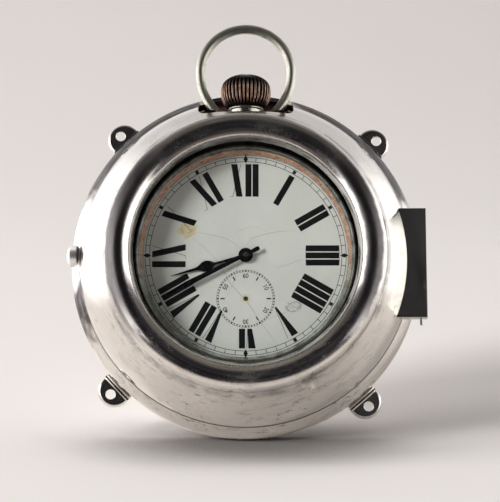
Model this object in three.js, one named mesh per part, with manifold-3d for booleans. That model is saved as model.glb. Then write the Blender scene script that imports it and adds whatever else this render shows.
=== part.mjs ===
// Large keyless pocket watch seated in a round bulkhead case with a hinged front. Millimetres.
// Everything is drawn in the watch's own frame (X to three o'clock, Y to twelve o'clock, Z out
// of the dial). One outer group stands it up, so that +Z is up and the dial faces -Y.
// The origin is the centre of the case's flat back, which lies against the bulkhead.
// A span is a [low, high] pair along one axis.
import * as THREE from "three";
import { mergeVertices } from "three/addons/utils/BufferGeometryUtils.js";
import ManifoldModule from "manifold-3d";

const wasm = await ManifoldModule();
wasm.setup();

const { degToRad, radToDeg } = THREE.MathUtils;

// ---------------------------------------------------------------- driving dimensions
const CASE_FACETS = 52; // round the case and door
const WATCH_FACETS = 32; // round the watch
const GAP = 0.08; // between pieces that are fixed to each other
const PAN_WALL = 1.2; // back wall of the case
const PAN_RADIUS = 49.3; // widest radius of the case
const SEAM_Z = 11.3; // where the door meets the case
const CASE_TOP = SEAM_Z - 0.1;
const DOOR_FOOT = SEAM_Z + 0.1;
const SLOT_HALF = 13.4; // half width of the slot for the pendant and bow
const LUG = { half: 4.7, root: 45.0, chord: 50.6, tip: 55.8, holeAt: 52.7, holeRadius: 1.45 };
const HINGE = {
  x: 48.8, y: -1.2, z: 12.2,
  leafHalf: 15.4, knuckleHalf: 13.9, knuckle: 1.25, pin: 0.45, bore: 0.5,
};
const BUTTON = { y: 1.9, z: 8.1, head: 2.5, neck: 1.2 };
const BEAD = { radius: 34.3, z: 27.5, section: 4.2, sheet: 0.9 }; // rolled rim of the door
const BAND = { inner: 30.6, edge: 33.1, outer: 33.7 };
const DIAL = { radius: 30.0, span: [19.4, 20.0] };
const PENDANT = { z: 13.5, radius: 4.4, bottom: 31.2, top: 43.0, bore: 1.3 };
const SET_TILT = degToRad(-15.5); // of the setting pin, from twelve o'clock
const CROWN = { bottom: 43.4, radius: 7.05, flutes: 24, fluteDepth: 0.42, plainRadius: 3.5 };
const BOW = {
  y: 53.65, radius: 12.9, lowRadius: 15.0, wire: 1.35,
  pivotY: 41.0, eye: 1.65, eyeInner: 5.0, eyeOuter: 7.9, meetX: 7.0,
};
const PLATE = { radius: 30.3, span: [15.8, 17.9] }; // main plate
const BRIDGE = { radius: 29.6, back: 10.0, front: 11.4, footRadius: 27.2 };
const FOOT_END = PLATE.span[0] - 0.06; // where the feet of bridges and cocks stop

// arbor centres in the plane of the dial
const CENTRE = [0, 0];
const FOURTH = [0, -12];
const THIRD = [6.22, -6.99];
const BARREL = [-12.125, 7.543];
const CROWN_WHEEL = [0, 19.6];
const BALANCE = [-13.5, -14.0];
const ESCAPE = [-6.53, -12.97];
const MINUTE = [3.0, 5.196];
const CLICK = [BARREL[0] - 12.6, BARREL[1] - 4.6];

const bearing = (from, to) => Math.atan2(to[1] - from[1], to[0] - from[0]);
const distance = (from, to) => Math.hypot(to[0] - from[0], to[1] - from[1]);

const ESCAPE_LINE = bearing(ESCAPE, BALANCE);
const ESCAPE_TO_PALLET = 3.45;
const PALLET = [
  ESCAPE[0] + ESCAPE_TO_PALLET * Math.cos(ESCAPE_LINE),
  ESCAPE[1] + ESCAPE_TO_PALLET * Math.sin(ESCAPE_LINE),
];
const COCK_LINE = bearing(CENTRE, BALANCE);

// ---------------------------------------------------------------- solids
// A manifold from a closed geometry, turned right side out if its faces point inwards.
function solid(geometry) {
  for (const name of Object.keys(geometry.attributes)) {
    if (name !== "position") geometry.deleteAttribute(name);
  }
  const merged = mergeVertices(geometry, 1e-4);
  const source = merged.index.array;
  const triangles = [];
  for (let i = 0; i < source.length; i += 3) {
    const [a, b, c] = [source[i], source[i + 1], source[i + 2]];
    if (a !== b && b !== c && c !== a) triangles.push([a, b, c]);
  }
  const build = (faces) =>
    new wasm.Manifold(
      new wasm.Mesh({
        numProp: 3,
        vertProperties: new Float32Array(merged.attributes.position.array),
        triVerts: new Uint32Array(faces.flat()),
      }),
    );
  const result = build(triangles);
  return result.volume() > 0 ? result : build(triangles.map(([a, b, c]) => [a, c, b]));
}

const cut = (body, ...tools) => tools.reduce((rest, tool) => rest.subtract(tool), body);
const join = (body, ...others) => others.reduce((sum, other) => sum.add(other), body);
const moved = (body, [x, y]) => body.translate([x, y, 0]);
const swung = (body, angle) => body.rotate([0, 0, radToDeg(angle)]);
const about = (middle, half) => [middle - half, middle + half];
const across = (half) => [-half, half];

// A body turned about Z from [radius, z] pairs that start and end on the axis.
function turned(profile, facets = CASE_FACETS) {
  const points = profile.map(([radius, z]) => new THREE.Vector2(radius, z));
  return solid(new THREE.LatheGeometry(points, facets).rotateX(Math.PI / 2));
}
// A ring turned about Z from a loop of [radius, z] pairs.
const ring = (loop, facets) => turned([...loop, loop[0]], facets);

function box(...spans) {
  const size = spans.map(([low, high]) => high - low);
  const middle = spans.map(([low, high]) => (low + high) / 2);
  return solid(new THREE.BoxGeometry(...size).translate(...middle));
}
// Round bars along Y, Z and X.
function barY(radius, [low, high], facets) {
  const bar = new THREE.CylinderGeometry(radius, radius, high - low, facets);
  return bar.translate(0, (low + high) / 2, 0);
}
function rod(radius, [low, high], facets, [x, y] = CENTRE) {
  const bar = new THREE.CylinderGeometry(radius, radius, high - low, facets);
  return solid(bar.rotateX(Math.PI / 2).translate(x, y, (low + high) / 2));
}
function rodX(radius, [low, high], y, z, facets) {
  const bar = new THREE.CylinderGeometry(radius, radius, high - low, facets);
  return solid(bar.rotateZ(Math.PI / 2).translate((low + high) / 2, y, z));
}
const rodY = (radius, span, x, z, facets) => solid(barY(radius, span, facets).translate(x, 0, z));

const buttonRod = (radius, span, facets) => rodX(radius, span, BUTTON.y, BUTTON.z, facets);
const hingeRod = (radius, span) => rodY(radius, span, HINGE.x, HINGE.z, 16);
const stemRod = (radius, span, facets) => rodY(radius, span, 0, PENDANT.z, facets);
const bowRod = (radius, span, facets) => rodX(radius, span, BOW.pivotY, PENDANT.z, facets);
// a bar on the setting pin's radial line, which leans from twelve towards one o'clock
const setRod = (radius, span, facets) =>
  solid(barY(radius, span, facets).rotateZ(SET_TILT).translate(0, 0, PENDANT.z));

// A flat piece that fills a span of Z with a THREE.Shape.
function plate(shape, [low, high], curveSegments = 8) {
  const settings = { depth: high - low, bevelEnabled: false, curveSegments };
  return solid(new THREE.ExtrudeGeometry(shape, settings).translate(0, 0, low));
}
const poly = (points) => new THREE.Shape(points.map(([x, y]) => new THREE.Vector2(x, y)));
const polar = ([radius, angle]) => [radius * Math.cos(angle), radius * Math.sin(angle)];
const polarPoly = (points) => poly(points.map(polar));

// ---------------------------------------------------------------- gears and springs
// Tooth forms in modules: height above and depth below the pitch circle, and half widths.
const WHEEL_TOOTH = { above: 0.9, below: 1.0, rootHalf: 0.95, tipHalf: 0 };
const PINION_TOOTH = { above: 0.7, below: 1.15, rootHalf: 0.55, tipHalf: 0.36 };

// A gear outline with the middle of one tooth at the angle `toward`.
function gear(teeth, module, toward, form = teeth <= 16 ? PINION_TOOTH : WHEEL_TOOTH) {
  const root = (teeth / 2 - form.below) * module;
  const tip = (teeth / 2 + form.above) * module;
  const rootTurn = Math.asin((form.rootHalf * module) / root);
  const tipTurn = (form.tipHalf * module) / tip;
  const points = [];
  for (let k = 0; k < teeth; k++) {
    const angle = toward + (k * 2 * Math.PI) / teeth;
    points.push([root, angle - rootTurn]);
    if (tipTurn) points.push([tip, angle - tipTurn], [tip, angle + tipTurn]);
    else points.push([tip, angle]);
    points.push([root, angle + rootTurn]);
  }
  return polarPoly(points);
}

// Two meshing outlines: the first has a tooth on the line of centres, the second a gap.
function gearPair(firstAt, firstTeeth, secondAt, secondTeeth) {
  const module = (2 * distance(firstAt, secondAt)) / (firstTeeth + secondTeeth);
  const gapTurn = Math.PI / secondTeeth;
  return {
    module,
    first: gear(firstTeeth, module, bearing(firstAt, secondAt)),
    second: gear(secondTeeth, module, bearing(secondAt, firstAt) + gapTurn),
  };
}

// Cuts the openings between the arms of a wheel.
function crossings(shape, { inner, outer, arms, armHalf }) {
  const step = (2 * Math.PI) / arms;
  for (let k = 0; k < arms; k++) {
    const corner = (radius, fraction) => {
      const inset = armHalf / radius;
      return [radius, k * step + inset + (step - 2 * inset) * fraction];
    };
    const opening = [
      corner(outer, 0), corner(outer, 0.5), corner(outer, 1), corner(inner, 1), corner(inner, 0),
    ];
    shape.holes.push(new THREE.Path(opening.map((p) => new THREE.Vector2(...polar(p)))));
  }
  return shape;
}

// A flat ribbon wound in a spiral, with twelve facets to a turn.
function spiral({ inner, outer, turns, thickness, span }) {
  const perTurn = 12;
  const count = turns * perTurn;
  const edge = (offset) =>
    Array.from({ length: count + 1 }, (_, i) => [
      inner + ((outer - inner) * i) / count + offset,
      (i / perTurn) * 2 * Math.PI,
    ]);
  return plate(polarPoly([...edge(thickness / 2), ...edge(-thickness / 2).reverse()]), span);
}

const BARREL_PAIR = gearPair(BARREL, 48, CENTRE, 8);
const CENTRE_PAIR = gearPair(CENTRE, 48, THIRD, 6);
const THIRD_PAIR = gearPair(THIRD, 45, FOURTH, 6);
const FOURTH_PAIR = gearPair(FOURTH, 48, ESCAPE, 6);
const CANNON_PAIR = gearPair(MINUTE, 18, CENTRE, 6);
const HOUR_PAIR = gearPair(CENTRE, 24, MINUTE, 6);
const RATCHET_TEETH = 33;
const WINDING_PAIR = gearPair(BARREL, RATCHET_TEETH, CROWN_WHEEL, 19);

// ---------------------------------------------------------------- finishes and meshes
const FINISHES = {
  silver: { color: 0xd9d5d2, roughness: 0.2, metalness: 1.0 },
  darkSilver: { color: 0x8f8c88, roughness: 0.3, metalness: 1.0 },
  nickel: { color: 0x8d8f83, roughness: 0.35, metalness: 1.0 },
  gilt: { color: 0xc9a45c, roughness: 0.35, metalness: 1.0 },
  steel: { color: 0x9fa3a8, roughness: 0.25, metalness: 1.0 },
  blued: { color: 0x15161c, roughness: 0.3, metalness: 0.6 },
  copper: { color: 0x5a4438, roughness: 0.4, metalness: 0.9 },
  velvet: { color: 0x33201f, roughness: 0.95, metalness: 0.0 },
  enamel: { color: 0xdfe3dc, roughness: 0.25, metalness: 0.0 },
  glass: { color: 0xffffff, roughness: 0.05, metalness: 0.0, transparent: true, opacity: 0.25 },
};

function toMesh(name, body, finish) {
  const { vertProperties, triVerts } = body.getMesh();
  const geometry = new THREE.BufferGeometry();
  geometry.setAttribute("position", new THREE.BufferAttribute(new Float32Array(vertProperties), 3));
  geometry.setIndex(new THREE.BufferAttribute(new Uint32Array(triVerts), 1));
  geometry.computeVertexNormals();
  const mesh = new THREE.Mesh(geometry, new THREE.MeshStandardMaterial(FINISHES[finish]));
  mesh.name = name;
  return mesh;
}

// A group of meshes from [name, solid, finish] rows.
function assemble(rows) {
  const group = new THREE.Group();
  for (const row of rows) group.add(toMesh(...row));
  return group;
}

// ---------------------------------------------------------------- outer case: pan
// [radius, z], outside from the back to the seam, then inside from the seam to the back
const PAN_OUTER = [
  [46.0, 0], [48.2, 1.0], [49.05, 2.9], [PAN_RADIUS, 4.8], [48.8, 7.3], [46.4, CASE_TOP],
];
const PAN_INNER = [
  [45.3, CASE_TOP], [47.75, 6.9], [48.2, 4.8], [47.6, 2.6], [45.7, PAN_WALL],
];
const swollen = (profile) => profile.map(([radius, z]) => [radius + GAP, z]);
// the pan's outside, swollen by the fixing gap and filled solid
const panFull = turned([
  [0, -0.5], [PAN_OUTER[0][0] + GAP, -0.5], ...swollen(PAN_OUTER), [0, CASE_TOP],
]);

// room for the bolt, from a given x inwards
const boltRoom = (outermostX) => box([outermostX, -40], about(BUTTON.y, 6.6), [6.0, 14]);

function caseBody() {
  // a short collar on the wall guards the catch button
  const collar = cut(
    buttonRod(BUTTON.head + 0.55, [-49.35, -46.0], 24),
    turned([[0, -1], [47.2, -1], [47.2, 20], [0, 20]]),
    box([-60, -40], [-10, 10], [CASE_TOP, 20]),
  );
  return cut(
    join(turned([[0, 0], ...PAN_OUTER, ...PAN_INNER, [0, PAN_WALL]]), collar),
    box(across(SLOT_HALF), [36, 60], [5.6, 20]), // slot for the pendant, crown and bow
    buttonRod(BUTTON.head + 0.2, [-60, -48.55], 24), // sinking for the button's head
    buttonRod(BUTTON.neck + 0.15, [-60, -40], 16),
    boltRoom(-45.5),
  );
}

// The slot and the bolt's notch part the ring in two.
function rebateRings() {
  const [[mouth], [waist, waistZ]] = PAN_INNER;
  const whole = cut(
    ring([
      [43.5, 9.4], [45.2, 9.4], [45.2, 10.6], [44.8, CASE_TOP], [44.8, 11.85], [43.5, 11.85],
    ]),
    box([-11.2, 11.2], [36, 60], [5, 20]),
    boltRoom(-46),
    // the pan's wall
    ring([
      [mouth - GAP, 11.4], [mouth - GAP, CASE_TOP], [waist - GAP, waistZ], [50, waistZ], [50, 11.4],
    ]),
  );
  const upperLeft = box([-60, 0], [0, 60], [0, 20]);
  return { short: whole.intersect(upperLeft), long: cut(whole, upperLeft) };
}

// A flat D-shaped screw lug with a low ridge across it, at an angle in degrees from X.
function lug(angle) {
  const { half, root, chord, tip } = LUG;
  const [shoulderX, shoulderY] = [53.4, 2.9]; // control points of the rounded end
  const shape = new THREE.Shape();
  shape.moveTo(root, -half);
  shape.lineTo(chord, -half);
  shape.bezierCurveTo(shoulderX, -half, tip, -shoulderY, tip, 0);
  shape.bezierCurveTo(tip, shoulderY, shoulderX, half, chord, half);
  shape.lineTo(root, half);
  shape.closePath();
  const hole = new THREE.Path();
  hole.absarc(LUG.holeAt, 0, LUG.holeRadius, 0, 2 * Math.PI, true);
  shape.holes.push(hole);
  // the ridge's section is drawn flat, then stood up to run along Y
  const ridge = plate(poly([[0, 1.1], [1.5, 1.1], [1.1, 1.9], [0.4, 1.9]]), across(half))
    .rotate([90, 0, 0])
    .translate([49.35, 0, 0]);
  return cut(join(plate(shape, [0, 1.2], 5), ridge).rotate([0, 0, angle]), panFull);
}

// ---------------------------------------------------------------- outer case: door
// [radius, z], outside from the seam to the bead, then inside from the bead to the seam
const FLANGE_OUTER = [[46.4, DOOR_FOOT], [45.4, 14.5], [42.6, 19.8], [38.7, 25.8]];
const FLANGE_INNER = [[37.7, 25.3], [41.7, 19.3], [44.5, 14.1], [45.5, DOOR_FOOT]];
const doorFull = turned([
  [0, DOOR_FOOT], ...swollen(FLANGE_OUTER), [BEAD.radius + BEAD.section, BEAD.z], [0, BEAD.z],
]);

// Points on the bead's section between two angles in degrees.
function beadArc(radius, from, to, steps) {
  return Array.from({ length: steps + 1 }, (_, i) => {
    const [across, up] = polar([radius, degToRad(from + ((to - from) * i) / steps)]);
    return [BEAD.radius + across, BEAD.z + up];
  });
}

function doorBezel() {
  const shell = ring([
    ...FLANGE_OUTER,
    ...beadArc(BEAD.section, -12, 200, 8),
    ...beadArc(BEAD.section - BEAD.sheet, 200, -20, 5),
    ...FLANGE_INNER,
  ]);
  // slot through the flange, with rounded inner corners
  const [floor, side, cornerX] = [39.8, 42.2, SLOT_HALF - 2.2];
  const slot = new THREE.Shape();
  slot.moveTo(-SLOT_HALF, 60);
  slot.lineTo(-SLOT_HALF, side);
  slot.quadraticCurveTo(-SLOT_HALF, floor, -cornerX, floor);
  slot.lineTo(cornerX, floor);
  slot.quadraticCurveTo(SLOT_HALF, floor, SLOT_HALF, side);
  slot.lineTo(SLOT_HALF, 60);
  slot.closePath();
  return cut(shell, plate(slot, [8, 30], 4));
}

// Hinge: a long knuckle on the case, and a leaf on the door whose ends close over it.
const hingeBore = hingeRod(HINGE.bore, [-20, 20]);
function hingeLeafCase() {
  const length = about(HINGE.y, HINGE.knuckleHalf);
  const leaf = box([44.0, 49.0], length, [8.2, SEAM_Z - 0.15]);
  return cut(join(leaf, hingeRod(HINGE.knuckle, length)), panFull, hingeBore);
}
function hingeLeafDoor() {
  const { y, leafHalf } = HINGE;
  const cheekInner = 14.2; // from the middle of the hinge
  const cheek = (ySpan) => box([42.0, 50.2], ySpan, [HINGE.z - 0.4, 15.5]);
  const leaf = join(
    box([40.0, 50.2], about(y, leafHalf), [14.7, 16.0]),
    cheek([y - leafHalf, y - cheekInner]),
    cheek([y + cheekInner, y + leafHalf]),
  );
  return cut(leaf, doorFull, hingeBore);
}
const hingePin = () => hingeRod(HINGE.pin, [HINGE.y - 17.1, HINGE.y + 15.9]);

// Catch: the button pushes the bolt inwards, off the strike inside the door.
const catchButton = () =>
  join(
    buttonRod(BUTTON.head, [-50.1, -49.25], 24),
    buttonRod(BUTTON.head - 0.35, [-50.4, -50.0], 24),
    buttonRod(BUTTON.neck, [-49.3, -45.3], 16),
  );

function catchBolt() {
  const width = across(2.4);
  return join(
    box([-45.22, -44.5], across(3.2), [5.6, 10.9]), // face behind the button
    box([-45.0, -42.7], width, [10.2, 10.9]),
    box([-43.3, -42.7], width, [10.2, 13.9]),
    box([-43.8, -42.7], width, [13.2, 13.9]), // nose
  ).translate([0, BUTTON.y, 0]);
}

function catchSpring() {
  const [inner, width] = [-43.45, [6.4, 8.4]];
  return join(
    box([-43.75, inner], across(6.4), width),
    box([-45.4, inner], [-6.4, -5.2], width),
    box([-45.4, inner], [5.2, 6.4], width),
  ).translate([0, BUTTON.y, 0]);
}

function doorStrike() {
  const doorInside = ring([[30, SEAM_Z], [45.5 - GAP, SEAM_Z], [44.5 - GAP, 14.1], [30, 14.1]]);
  return box([-46, -43.95], about(BUTTON.y, 2.6), [11.9, 12.9]).intersect(doorInside);
}

// Seat: a lined collar with a way through for the pendant, and a felt pad.
const SEAT = { inner: 34.3, outer: 43.3, back: 1.35, front: 14.4 };
const seatRing = () =>
  cut(
    ring([
      [SEAT.inner, SEAT.back], [SEAT.outer, SEAT.back],
      [SEAT.outer, SEAT.front], [SEAT.inner, SEAT.front],
    ]),
    box([-12.6, 12.6], [28, 50], [5.6, 20]),
    box([-50, -41.7], about(BUTTON.y, 7.2), [4.6, 20]), // room for the catch
  );

const rebate = rebateRings();
const outerCase = assemble([
  ["case_body", caseBody(), "silver"],
  ["rebate_ring_short", rebate.short, "gilt"],
  ["rebate_ring_long", rebate.long, "gilt"],
  ["lug_top_right", lug(44.4), "silver"],
  ["lug_top_left", lug(133.4), "silver"],
  ["lug_bottom_left", lug(223.7), "silver"],
  ["lug_bottom_right", lug(311.0), "silver"],
  ["door_bezel", doorBezel(), "silver"],
  ["hinge_leaf_case", hingeLeafCase(), "darkSilver"],
  ["hinge_pin", hingePin(), "steel"],
  ["hinge_leaf_door", hingeLeafDoor(), "darkSilver"],
  ["catch_button", catchButton(), "silver"],
  ["catch_bolt", catchBolt(), "steel"],
  ["catch_spring", catchSpring(), "steel"],
  ["door_strike", doorStrike(), "steel"],
  ["seat_ring", seatRing(), "velvet"],
  ["seat_pad", rod(31.0, [SEAT.back, 4.3], 32), "velvet"],
]);

// ---------------------------------------------------------------- watch case
const SET_BORE = 0.75; // radius of the setting pin's hole
const BOW_BORE = 0.75; // radius of the bow screws' holes

function watchMiddle() {
  const { inner, edge, outer } = BAND;
  const loop = [[inner, 8.45], [edge, 8.45], [outer, PENDANT.z], [edge, 19.1], [inner, 19.1]];
  return cut(
    ring(loop, WATCH_FACETS),
    stemRod(PENDANT.radius + 0.1, [28, 40], 20),
    setRod(SET_BORE, [28, 40], 10),
  );
}

// [radius, z] loops and profiles
const BEZEL_LOOP = [
  [30.9, 19.2], [33.2, 19.2], [33.3, 20.3], [32.0, 22.1], [29.9, 23.7],
  [29.55, 23.6], [29.5, 22.7], [29.0, 22.7], [28.4, 20.25], [30.9, 20.25],
];
const BACK_PROFILE = [
  [0, 4.6], [17, 5.1], [28, 6.3], [33.2, 8.35], [31.9, 8.35], [27.6, 7.05], [17, 5.85], [0, 5.35],
];

function crystal() {
  const glass = { radius: 29.35, rimZ: 23.4, rise: 2.9, thickness: 0.85, backZ: 22.78 };
  const middle = 17; // radius of the break between the facets of the dome
  const dome = (radius) => glass.rimZ + glass.rise * (1 - (radius / glass.radius) ** 2);
  return turned([
    [0, dome(0) - glass.thickness], [middle, dome(middle) - glass.thickness],
    [28.6, glass.backZ], [glass.radius, glass.backZ],
    [glass.radius, dome(glass.radius)], [middle, dome(middle)], [0, dome(0)],
  ], WATCH_FACETS);
}

const pendant = () =>
  cut(
    join(
      stemRod(PENDANT.radius, [PENDANT.bottom, PENDANT.top], 20),
      stemRod(PENDANT.radius + 0.35, [39.4, PENDANT.top - 0.4], 20),
    ),
    stemRod(PENDANT.bore, [30, 45], 12),
    bowRod(BOW_BORE, [-8, -2.6], 8),
    bowRod(BOW_BORE, [2.6, 8], 8),
  );

const setOlive = () =>
  cut(
    join(setRod(1.9, [33.85, 35.2], 14), setRod(1.5, [35.1, 35.6], 14)),
    setRod(SET_BORE, [30, 40], 10),
  );

// side is -1 for left and 1 for right
function bowScrew(side) {
  const sided = (near, far) => (side > 0 ? [near, far] : [-far, -near]);
  return join(bowRod(0.66, sided(2.9, 8.2), 8), bowRod(1.3, sided(8.0, 8.7), 12));
}

// Bow: a round wire ring, wider than the crown, that ends in two eyes on the pendant.
function bow() {
  const belowLevel = Math.acos(BOW.meetX / BOW.radius); // where the ring meets an eye
  const points = [];
  for (let i = 0; i <= 20; i++) {
    const angle = -belowLevel + ((Math.PI + 2 * belowLevel) * i) / 20;
    const rise = Math.sin(angle) < 0 ? BOW.lowRadius : BOW.radius; // lower half is longer
    const x = BOW.radius * Math.cos(angle);
    points.push(new THREE.Vector3(x, BOW.y + rise * Math.sin(angle), PENDANT.z));
  }
  const section = new THREE.Shape();
  section.absarc(0, 0, BOW.wire, 0, 2 * Math.PI, false);
  const wire = new THREE.ExtrudeGeometry(section, {
    steps: 34,
    curveSegments: 4,
    bevelEnabled: false,
    extrudePath: new THREE.CatmullRomCurve3(points, false, "centripetal"),
  });
  const { eye, eyeInner, eyeOuter } = BOW;
  return cut(
    join(
      solid(wire),
      bowRod(eye, [eyeInner, eyeOuter], 14),
      bowRod(eye, [-eyeOuter, -eyeInner], 14),
    ),
    bowRod(BOW_BORE, [-10, 10], 8),
    bowRod(3, across(eyeInner), 8), // clears the wire's ends inside the eyes
    bowRod(2.2, [eyeOuter, 12], 10), // flat seats for the screw heads
    bowRod(2.2, [-12, -eyeOuter], 10),
  );
}

// Crown: a fluted bun, turned about Y.
function crown() {
  // [radius, height]
  const profile = [
    [0, 0], [5.2, 0], [6.8, 2.4], [CROWN.radius, 5.0], [5.9, 7.8], [3.2, 9.3], [0, 9.5],
  ];
  const points = profile.map(([radius, y]) => new THREE.Vector2(radius, y));
  const bun = new THREE.LatheGeometry(points, CROWN.flutes * 2);
  const position = bun.attributes.position;
  // every other line of vertices is drawn in, except near the axis
  for (let i = 0; i < position.count; i++) {
    const [x, z] = [position.getX(i), position.getZ(i)];
    const radius = Math.hypot(x, z);
    const k = Math.round((Math.atan2(x, z) * CROWN.flutes) / Math.PI);
    if (radius <= CROWN.plainRadius || k % 2 === 0) continue;
    const scale = (radius - CROWN.fluteDepth) / radius;
    position.setX(i, x * scale);
    position.setZ(i, z * scale);
  }
  bun.translate(0, CROWN.bottom, PENDANT.z);
  return cut(solid(bun), stemRod(1.0, [42, 49], 10));
}

const watchCase = assemble([
  ["watch_middle", watchMiddle(), "nickel"],
  ["watch_bezel", ring(BEZEL_LOOP, WATCH_FACETS), "nickel"],
  ["crystal", crystal(), "glass"],
  ["watch_back", turned(BACK_PROFILE, WATCH_FACETS), "nickel"],
  ["dust_cover", rod(30.2, [8.35, 8.8], WATCH_FACETS), "gilt"],
  ["pendant", pendant(), "nickel"],
  ["set_olive", setOlive(), "nickel"],
  ["set_pin", setRod(0.65, [30.45, 37.2], 10), "steel"],
  ["bow_screw_left", bowScrew(-1), "steel"],
  ["bow_screw_right", bowScrew(1), "steel"],
  ["bow", bow(), "nickel"],
  ["crown", crown(), "copper"],
  ["winding_stem", stemRod(0.9, [23.2, 48.8], 10), "steel"],
]);

// ---------------------------------------------------------------- dial and hands
const dial = () =>
  cut(
    rod(DIAL.radius, DIAL.span, WATCH_FACETS),
    rod(1.75, [19, 21], 16),
    rod(0.65, [19, 21], 12, FOURTH),
  );

// One side of each hand as [half width, y], from tail to tip, pointing along +Y.
const HOUR_BLADE = [
  [0.55, -0.8], [0.42, 1.6], [0.38, 8.6], [0.75, 9.3], [1.35, 10.2], [1.5, 11.2],
  [1.25, 12.2], [0.7, 13.2], [0.4, 14.4], [0.3, 17.0], [0.16, 20.6], [0, 21.4],
];
const MINUTE_BLADE = [
  [0.5, -4.2], [0.62, -3.2], [0.42, -1.0], [0.5, 1.4],
  [0.62, 10.0], [0.78, 17.5], [0.4, 22.0], [0, 26.0],
];
// angle is in degrees, counterclockwise from twelve; hub and bore are upright bars
function hand({ blade, span, hub, bore, angle }) {
  const mirrored = blade.filter(([half]) => half > 0).map(([half, y]) => [-half, y]);
  const flat = plate(poly([...blade, ...mirrored.reverse()]), span);
  return cut(join(flat, hub), bore).rotate([0, 0, angle]);
}
const hourHand = () =>
  hand({
    blade: HOUR_BLADE,
    span: [20.55, 20.85],
    hub: rod(2.0, [20.5, 20.95], 16),
    bore: rod(1.56, [19, 23], 12),
    angle: 106,
  });
const minuteHand = () =>
  hand({
    blade: MINUTE_BLADE,
    span: [21.4, 21.68],
    hub: rod(1.55, [21.35, 21.75], 14),
    bore: rod(0.78, [19, 23], 10),
    angle: 117,
  });

// Gearing between the main plate and the dial.
const cannonPinion = () =>
  cut(
    join(
      plate(CANNON_PAIR.second, [18.0, 18.6]),
      rod(0.95, [18.0, 21.3], 12),
      rod(0.72, [21.2, 22.0], 10), // seat of the minute hand
    ),
    rod(0.46, [17, 23], 8),
  );
function minuteWheel() {
  const wheel = plate(CANNON_PAIR.first, [18.08, 18.45]);
  const pinion = plate(HOUR_PAIR.second, [18.4, 19.2]);
  return moved(cut(join(wheel, pinion), rod(0.45, [17, 20], 8)), MINUTE);
}
const hourWheel = () =>
  cut(
    join(plate(HOUR_PAIR.first, [18.72, 19.1]), rod(1.5, [18.72, 20.9], 12)),
    rod(1.1, [17, 22], 12),
  );

const front = assemble([
  ["dial", dial(), "enamel"],
  ["hour_hand", hourHand(), "blued"],
  ["minute_hand", minuteHand(), "blued"],
  ["cannon_pinion", cannonPinion(), "steel"],
  ["minute_wheel", minuteWheel(), "gilt"],
  ["hour_wheel", hourWheel(), "gilt"],
]);

// ---------------------------------------------------------------- movement: plate and bridges
const ARBOR_BORE = 1.4; // hole for the barrel arbor

// Upright holes from [centre, radius, facets] rows.
const holes = (rows, span) => rows.map(([at, radius, facets]) => rod(radius, span, facets, at));

function mainPlate() {
  const blank = cut(
    rod(PLATE.radius, PLATE.span, WATCH_FACETS),
    ...holes([[CENTRE, 0.6, 12], [FOURTH, 0.5, 10]], [14, 19]),
    // blind holes from the back
    ...holes([
      [THIRD, 0.4, 10], [ESCAPE, 0.4, 10], [PALLET, 0.4, 10], [BALANCE, 0.45, 10],
      [BARREL, ARBOR_BORE, 12],
    ], [14, 17.2]),
    box([-4.1, 4.1], [22.0, 28.4], [15, 17.35]), // room for the winding pinion
  );
  return join(blank, rod(0.38, [17.6, 19.1], 10, MINUTE)); // post of the minute wheel
}

// A disc with a deep foot round its rim, from which both bridges are taken.
const bridgeBlank = cut(
  rod(BRIDGE.radius, [BRIDGE.back, FOOT_END], WATCH_FACETS),
  rod(BRIDGE.footRadius, [BRIDGE.front, 20], WATCH_FACETS),
);
const bridgePart = (points) => bridgeBlank.intersect(plate(poly(points), [9, 18]));
const BARREL_BRIDGE_OUTLINE = [[-31, -3.2], [4, -3.2], [14, 12], [31, 20], [31, 31], [-31, 31]];
const TRAIN_BRIDGE_OUTLINE = [
  [-8.4, -3.7], [4.3, -3.7], [14.3, 11.5], [31, 19.4], [31, -31], [-8.4, -31],
];

function barrelBridge() {
  const bridge = cut(
    bridgePart(BARREL_BRIDGE_OUTLINE),
    box([-4.1, 4.1], [24.4, 31], [9, 18]), // room for the winding pinion and stem
    ...holes([[BARREL, ARBOR_BORE, 12], [CENTRE, 0.45, 10]], [9, 12]),
  );
  return join(
    bridge,
    rod(0.9, [9.2, 10.2], 14, CROWN_WHEEL), // boss of the crown wheel
    rod(0.55, [9.25, 10.2], 10, CLICK), // post of the click
  );
}
const trainBridge = () =>
  cut(
    bridgePart(TRAIN_BRIDGE_OUTLINE),
    ...holes([[THIRD, 0.4, 10], [FOURTH, 0.4, 10], [ESCAPE, 0.4, 10]], [9, 12]),
  );

// Balance cock: an arm from the rim over the balance, drawn along X and swung into place.
// Each outline is one side as [x, half width].
const COCK_ARM = [[16.6, 1.3], [18.6, 2.6], [22, 2.8], [26, 4.2], [29.3, 4.6]];
const COCK_FOOT = [[26.6, 4.2], [29.2, 4.4]];
function balanceCock() {
  const balanceX = Math.hypot(...BALANCE);
  const symmetric = (side) => poly([...side.map(([x, y]) => [x, -y]), ...side.toReversed()]);
  const cock = join(
    plate(symmetric(COCK_ARM), [9.95, 10.75]),
    plate(symmetric(COCK_FOOT), [10.6, FOOT_END]),
    rod(0.35, [10.6, 11.3], 8, [balanceX + 3.95, 0]), // the hairspring's stud
  );
  return swung(cut(cock, rod(0.42, [9, 12], 10, [balanceX, 0])), COCK_LINE);
}

// Pallet cock: a low bridge square to the escapement's line, for the lever's back pivot.
function palletCock() {
  const [width, end] = [across(0.85), 6.4];
  const cock = join(
    box(width, [-0.9, end], [12.45, 12.9]),
    box(width, [4.6, end], [12.8, FOOT_END]),
  );
  return cut(moved(swung(cock, ESCAPE_LINE), PALLET), rod(0.4, [12, 13.1], 10, PALLET));
}

// ---------------------------------------------------------------- movement: barrel and winding
const SPRING_SPAN = [13.1, 14.2];
const WINDING_SPAN = [9.3, 9.85]; // ratchet wheel, crown wheel and click

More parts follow.
